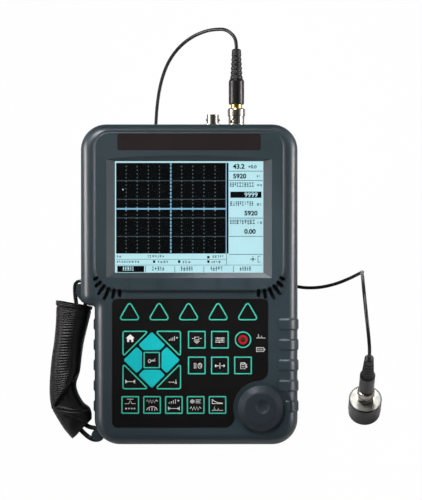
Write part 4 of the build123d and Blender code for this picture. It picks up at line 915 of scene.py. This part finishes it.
def strap_webbing():
    """Closed strip of webbing around both bars of the case, with rounded selvedges."""
    line = line_through([(x * MM, u * MM, 0) for x, u in WEB_ROUTE], True, 6)
    half = WEB_T / 2
    section = []
    for side in (1, -1):
        for step in range(WEB_STEPS + 1):
            across = -1 + 2 * step / WEB_STEPS
            section.append((side * across * WEB_W / 2, side * half * (1 - 0.75 * abs(across) ** 9)))
    bm = bmesh.new()
    layer = bm.loops.layers.uv.new("UVMap")
    rings = []
    run = [0.0]
    count = len(line)
    for index, spot in enumerate(line):
        ahead = (line[(index + 1) % count] - line[index - 1]).normalized()
        out = Vector((ahead.y, -ahead.x, 0))
        rings.append([bm.verts.new(spot + out * height * MM + Vector((0, 0, (STRAP_N + across) * MM)))
                      for across, height in section])
        run.append(run[-1] + (line[(index + 1) % count] - spot).length)
    for index in range(count):
        ring, after = rings[index], rings[(index + 1) % count]
        for place in range(len(section)):
            other = (place + 1) % len(section)
            face = bm.faces.new((ring[place], ring[other], after[other], after[place]))
            corners = ((index, place), (index, other), (index + 1, other), (index + 1, place))
            for loop, (length, where) in zip(face.loops, corners):
                loop[layer].uv = (run[length], section[where][0] * MM)
    bmesh.ops.recalc_face_normals(bm, faces=bm.faces)
    made = new_piece("webbing", bm)
    made.data.materials.append(nylon_webbing)
    return made


webbing = strap_webbing()
put_on_case(webbing, 0, 0, 0)
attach(webbing, "case")
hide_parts("strap_webbing")

RIB_PITCH = 1.9


def leather():
    """Black and supple, with a grain of about 0.9 mm and fine ribs across the front above the folds.

    The side towards the case has a painted lighter brown cast, a painted sheen in place of the light on its
    inner wall.
    """
    made, tree = blank("creased leather")
    place = add(tree, "TexCoord").outputs["Object"]
    worn = add(tree, "Attribute", attribute_name="worn").outputs["Fac"]
    patches = add(tree, "TexNoise", Vector=place, Scale=1 / (9 * MM), Detail=4, Roughness=0.6)
    cells = add(tree, "TexVoronoi", Vector=place, Scale=1 / (0.9 * MM), feature="F1")
    fine = add(tree, "TexNoise", Vector=place, Scale=1 / (0.5 * MM), Detail=2)
    dark = add(tree, "MixRGB", Fac=patches.outputs["Fac"], Color1=colour("#070708"), Color2=colour("#100f0f"))
    # Painted sheen: the side towards the case is lightened to a brown cast, standing in for light on its inner
    # wall.
    tint = add(tree, "MixRGB", Fac=worn, Color1=dark.outputs["Color"], Color2=colour("#1b1617"))
    relief = add(tree, "Math", operation="MULTIPLY_ADD", in0=cells.outputs["Distance"], in1=-0.7,
                 in2=fine.outputs["Fac"])
    grain = add(tree, "Bump", Height=relief.outputs[0], Distance=0.06 * MM, Strength=0.5)
    along = add(tree, "Attribute", attribute_name="along").outputs["Fac"]
    ribbed = add(tree, "Attribute", attribute_name="ribbed").outputs["Fac"]
    turn = add(tree, "Math", operation="MULTIPLY", in0=along, in1=2 * math.pi / RIB_PITCH)
    wave = add(tree, "Math", operation="SINE", in0=turn.outputs[0])
    ribs = add(tree, "Math", operation="MULTIPLY", in0=wave.outputs[0], in1=ribbed)
    bump = add(tree, "Bump", Height=ribs.outputs[0], Distance=0.2 * MM, Strength=0.8,
               Normal=grain.outputs["Normal"])
    gloss = add(tree, "MapRange", Value=patches.outputs["Fac"], To_Min=0.34, To_Max=0.44)
    shader = add(tree, "BsdfPrincipled", Base_Color=tint.outputs["Color"], Roughness=gloss.outputs["Result"],
                 IOR=1.5, Specular_IOR_Level=0.5, Normal=bump.outputs["Normal"])
    close(tree, shader.outputs["BSDF"])
    return made


creased_leather = leather()

# Both edges of the sleeve in the face view, from its top to its lower end: left x and u, right x and u
SLEEVE_EDGES = (
    (-105.4, 112.3, -77.4, 107.4),
    (-105.6, 104.0, -78.6, 101.0),
    (-106.0, 94.0, -80.4, 93.6),
    (-107.3, 80.0, -83.6, 80.4),
    (-109.2, 67.0, -85.5, 68.0),
    (-110.4, 54.0, -87.0, 56.0),
    (-110.9, 43.0, -89.8, 46.5),
    (-110.3, 33.0, -88.4, 39.0),
    (-108.4, 25.5, -84.2, 31.6),
    (-104.4, 18.4, -79.6, 27.8),
    (-99.4, 10.6, -77.8, 23.6),
    (-92.8, 2.9, -77.6, 18.4),
)
SLEEVE_LENGTH = 125
SLEEVE_RINGS = 150
SLEEVE_AROUND = 112
SLEEVE_WALL = 1.6
SLEEVE_DEPTH = 30.0
SLEEVE_SQUARENESS = 2 / 3.0
# Folds on the front: a line of points, the step from one side to the other, how far it reaches
FOLDS = (
    (((-85.4, 58.0), (-90.6, 50.5), (-97.0, 42.0), (-103.0, 34.0), (-108.4, 27.0)), 2.6, 9.0),
    (((-108.6, 27.6), (-100.0, 26.6), (-92.0, 25.6), (-84.0, 25.8), (-76.0, 26.4)), 1.5, 6.0),
    (((-101.0, 24.6), (-94.0, 22.2), (-88.0, 19.6), (-80.5, 16.4)), -1.2, 4.0),
)
HEM = 6.0
HEM_RISE = 0.5
HEM_GROOVE = 0.55


def spline_at(rows, place):
    """Catmull-Rom value between rows of numbers."""
    place = min(max(place, 0.0), len(rows) - 1.000001)
    index = int(place)
    part = place - index
    before = rows[max(index - 1, 0)]
    here, after = rows[index], rows[index + 1]
    beyond = rows[min(index + 2, len(rows) - 1)]
    values = []
    for a, b, c, d in zip(before, here, after, beyond):
        curve = (2 * a - 5 * b + 4 * c - d) * part**2 + (3 * b - a - 3 * c + d) * part**3
        values.append(0.5 * (2 * b + (c - a) * part + curve))
    return values


def fold_height(x, u):
    """How far the folds lift or sink the front of the sleeve at a point."""
    height = 0.0
    for line, step, reach in FOLDS:
        nearest, side = 1e9, 1
        for (ax, au), (bx, bu) in zip(line, line[1:]):
            dx, du = bx - ax, bu - au
            part = max(0.0, min(1.0, ((x - ax) * dx + (u - au) * du) / (dx * dx + du * du)))
            gap = math.hypot(x - ax - part * dx, u - au - part * du)
            if gap < nearest:
                nearest = gap
                side = 1 if dx * (u - au) - du * (x - ax) < 0 else -1
        fade = math.exp(-nearest / reach)
        height += step * side * fade * math.tanh(nearest / 0.7)
    return height


def sleeve():
    """Leather tube around the webbing, open at both ends, with its hem, folds and creases.

    It marks where the painted sheen lies on the side towards the case, how far down each spot lies and how
    strongly it is ribbed, for the leather.
    """
    bm = bmesh.new()
    worn = bm.verts.layers.float.new("worn")
    along = bm.verts.layers.float.new("along")
    ribbed = bm.verts.layers.float.new("ribbed")
    rings = []
    for index in range(SLEEVE_RINGS + 1):
        share = index / SLEEVE_RINGS
        left_x, left_u, right_x, right_u = spline_at(SLEEVE_EDGES, share * (len(SLEEVE_EDGES) - 1))
        middle = Vector(((left_x + right_x) / 2, (left_u + right_u) / 2))
        across = Vector((right_x - left_x, right_u - left_u)) / 2
        down = share * SLEEVE_LENGTH
        ring = []
        for place in range(SLEEVE_AROUND):
            angle = 2 * math.pi * place / SLEEVE_AROUND
            side = math.copysign(abs(math.cos(angle)) ** SLEEVE_SQUARENESS, math.cos(angle))
            front = math.copysign(abs(math.sin(angle)) ** SLEEVE_SQUARENESS, math.sin(angle))
            # The upper part opens towards the case, so that its inner wall slants back and shows.
            slant = max(0.0, 1 - share / 0.42) * 0.2
            if side > 0 and front > -0.3:
                side -= slant * (front + 0.3) * min(1.0, side * 1.6)
            x = middle.x + across.x * side
            u = middle.y + across.y * side
            n = STRAP_N + front * SLEEVE_DEPTH / 2
            facing = max(0.0, front) ** 2
            lift = fold_height(x, u) * facing
            if down < HEM:
                lift += HEM_RISE * min(1, (HEM - down) / 0.8)
            lift -= HEM_GROOVE * math.exp(-((down - HEM - 0.5) / 0.7) ** 2)
            long_crease = 0.22 * math.sin(0.16 * down + 2.2 * angle)
            short_crease = 0.1 * math.sin(0.4 * down - 3 * angle)
            lift += (long_crease + short_crease) * facing
            outward = Vector((across.x * side, across.y * side, front * SLEEVE_DEPTH / 2)).normalized()
            spot = Vector((x, u, n)) + outward * lift
            vertex = bm.verts.new(spot * MM)
            # Painted sheen on the side towards the case, strongest at the top, standing in for light on the
            # inner wall.
            vertex[worn] = 0.0
            if front > -0.7:
                vertex[worn] = max(0.0, min(1.0, (side - 0.62) * 4)) * max(0.0, 1 - share / 0.5)
            vertex[along] = down
            above_folds = min(1.0, max(0.0, (0.75 - share) * 5))
            vertex[ribbed] = math.exp(-(((side + 0.4) / 0.55) ** 2)) * facing * above_folds
            ring.append(vertex)
        rings.append(ring)
    for ring, after in zip(rings, rings[1:]):
        for place in range(SLEEVE_AROUND):
            other = (place + 1) % SLEEVE_AROUND
            bm.faces.new((ring[place], ring[other], after[other], after[place]))
    bmesh.ops.recalc_face_normals(bm, faces=bm.faces)
    made = new_piece("leather_sleeve", bm)
    made.data.materials.append(creased_leather)
    wall = made.modifiers.new("wall", "SOLIDIFY")
    wall.thickness = SLEEVE_WALL * MM
    wall.offset = -1
    bpy.ops.object.modifier_apply(modifier=wall.name)
    return made


leather_sleeve = sleeve()
put_on_case(leather_sleeve, 0, 0, 0)
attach(leather_sleeve, "case")
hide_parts("strap_sleeve")

# Floor: plain and pale. It is nearly white to the camera, and keeps a faint shadow.
select_none()
bpy.ops.mesh.primitive_plane_add(size=6)
floor = bpy.context.object
floor.name = "floor"
floor_paint, floor_tree = blank("pale floor")
path = add(floor_tree, "LightPath")
seen = add(floor_tree, "Math", operation="MAXIMUM", in0=path.outputs["Is Camera Ray"],
           in1=path.outputs["Is Transmission Ray"])
seen = add(floor_tree, "Math", operation="MULTIPLY_ADD", in0=path.outputs["Is Glossy Ray"], in1=0.1,
           in2=seen.outputs[0])
painted = add(floor_tree, "BsdfDiffuse", Color=colour("#e4e4e4"))
white = add(floor_tree, "Emission", Color=colour("#ffffff"))
share = add(floor_tree, "Math", operation="MULTIPLY", in0=seen.outputs[0], in1=0.985)
mixed = add(floor_tree, "MixShader", Fac=share.outputs[0], in1=painted.outputs[0], in2=white.outputs[0])
close(floor_tree, mixed.outputs[0])
floor.data.materials.append(floor_paint)

# World: a white backdrop. In reflections it is bright at both sides and dark between them.
world = bpy.data.worlds.new("studio")
bpy.context.scene.world = world
world.use_nodes = True
sky = world.node_tree
sky.nodes.clear()
path = add(sky, "LightPath")
towards = add(sky, "SeparateXYZ", Vector=add(sky, "TexCoord").outputs["Generated"])
sideways = add(sky, "Math", operation="ABSOLUTE", in0=towards.outputs["X"])
walls = add(sky, "MapRange", Value=sideways.outputs[0], From_Min=0.5, From_Max=0.85, To_Min=0.04, To_Max=0.7)
clear = add(sky, "Math", operation="MAXIMUM", in0=path.outputs["Is Glossy Ray"],
            in1=path.outputs["Is Transmission Ray"])
mirrored = add(sky, "Mix", Factor=clear.outputs[0], in2=0.2, in3=walls.outputs["Result"])
strength = add(sky, "Math", operation="MAXIMUM", in0=mirrored.outputs[0], in1=path.outputs["Is Camera Ray"])
background = add(sky, "Background", Color=colour("#ffffff"), Strength=strength.outputs[0])
add(sky, "OutputWorld", Surface=background.outputs[0])


def lamp(name, at, towards, size, power, spread, tint="#ffffff"):
    """A soft box, unseen by the camera. A narrow spread keeps its light on what it points at.

    Its place and size are in metres, its power in watts and its spread in degrees.
    """
    made = bpy.data.lights.new(name, "AREA")
    made.shape = "RECTANGLE"
    made.size, made.size_y = size
    made.energy = power
    made.spread = math.radians(spread)
    made.color = colour(tint)[:3]
    placed = linked(name, made)
    aim = (Vector(towards) - Vector(at)).to_track_quat("-Z", "Y")
    placed.matrix_world = Matrix.Translation(at) @ aim.to_matrix().to_4x4()
    placed.visible_camera = False


# Two low boxes at the sides draw the light bands along the case, and the high one lights the head.
SIDE_BOX = {"size": (0.62, 0.12), "power": 0.36, "spread": 54, "tint": "#fff5f3"}
lamp("left soft box", on_case(-460, 236, 190), on_case(-70, 255, 50), **SIDE_BOX)
lamp("right soft box", on_case(490, 236, 170), on_case(70, 255, 50), **SIDE_BOX)
lamp("high soft box", on_case(-200, 720, 480), on_case(-20, 350, 40), size=(0.6, 0.4), power=0.6, spread=38)
# Two small cards light the knob's cone and the probe's cap alone.
lamp("knob card", on_case(0, 190, 90), on_case(54, 36, 48), size=(0.14, 0.03), power=0.016, spread=32)
probe_top = on_table(*PROBE_AT, PROBE_H)
lamp("probe card", probe_top + Vector((0, 0.2, 0.29)), probe_top, size=(0.1, 0.1), power=0.028, spread=30)
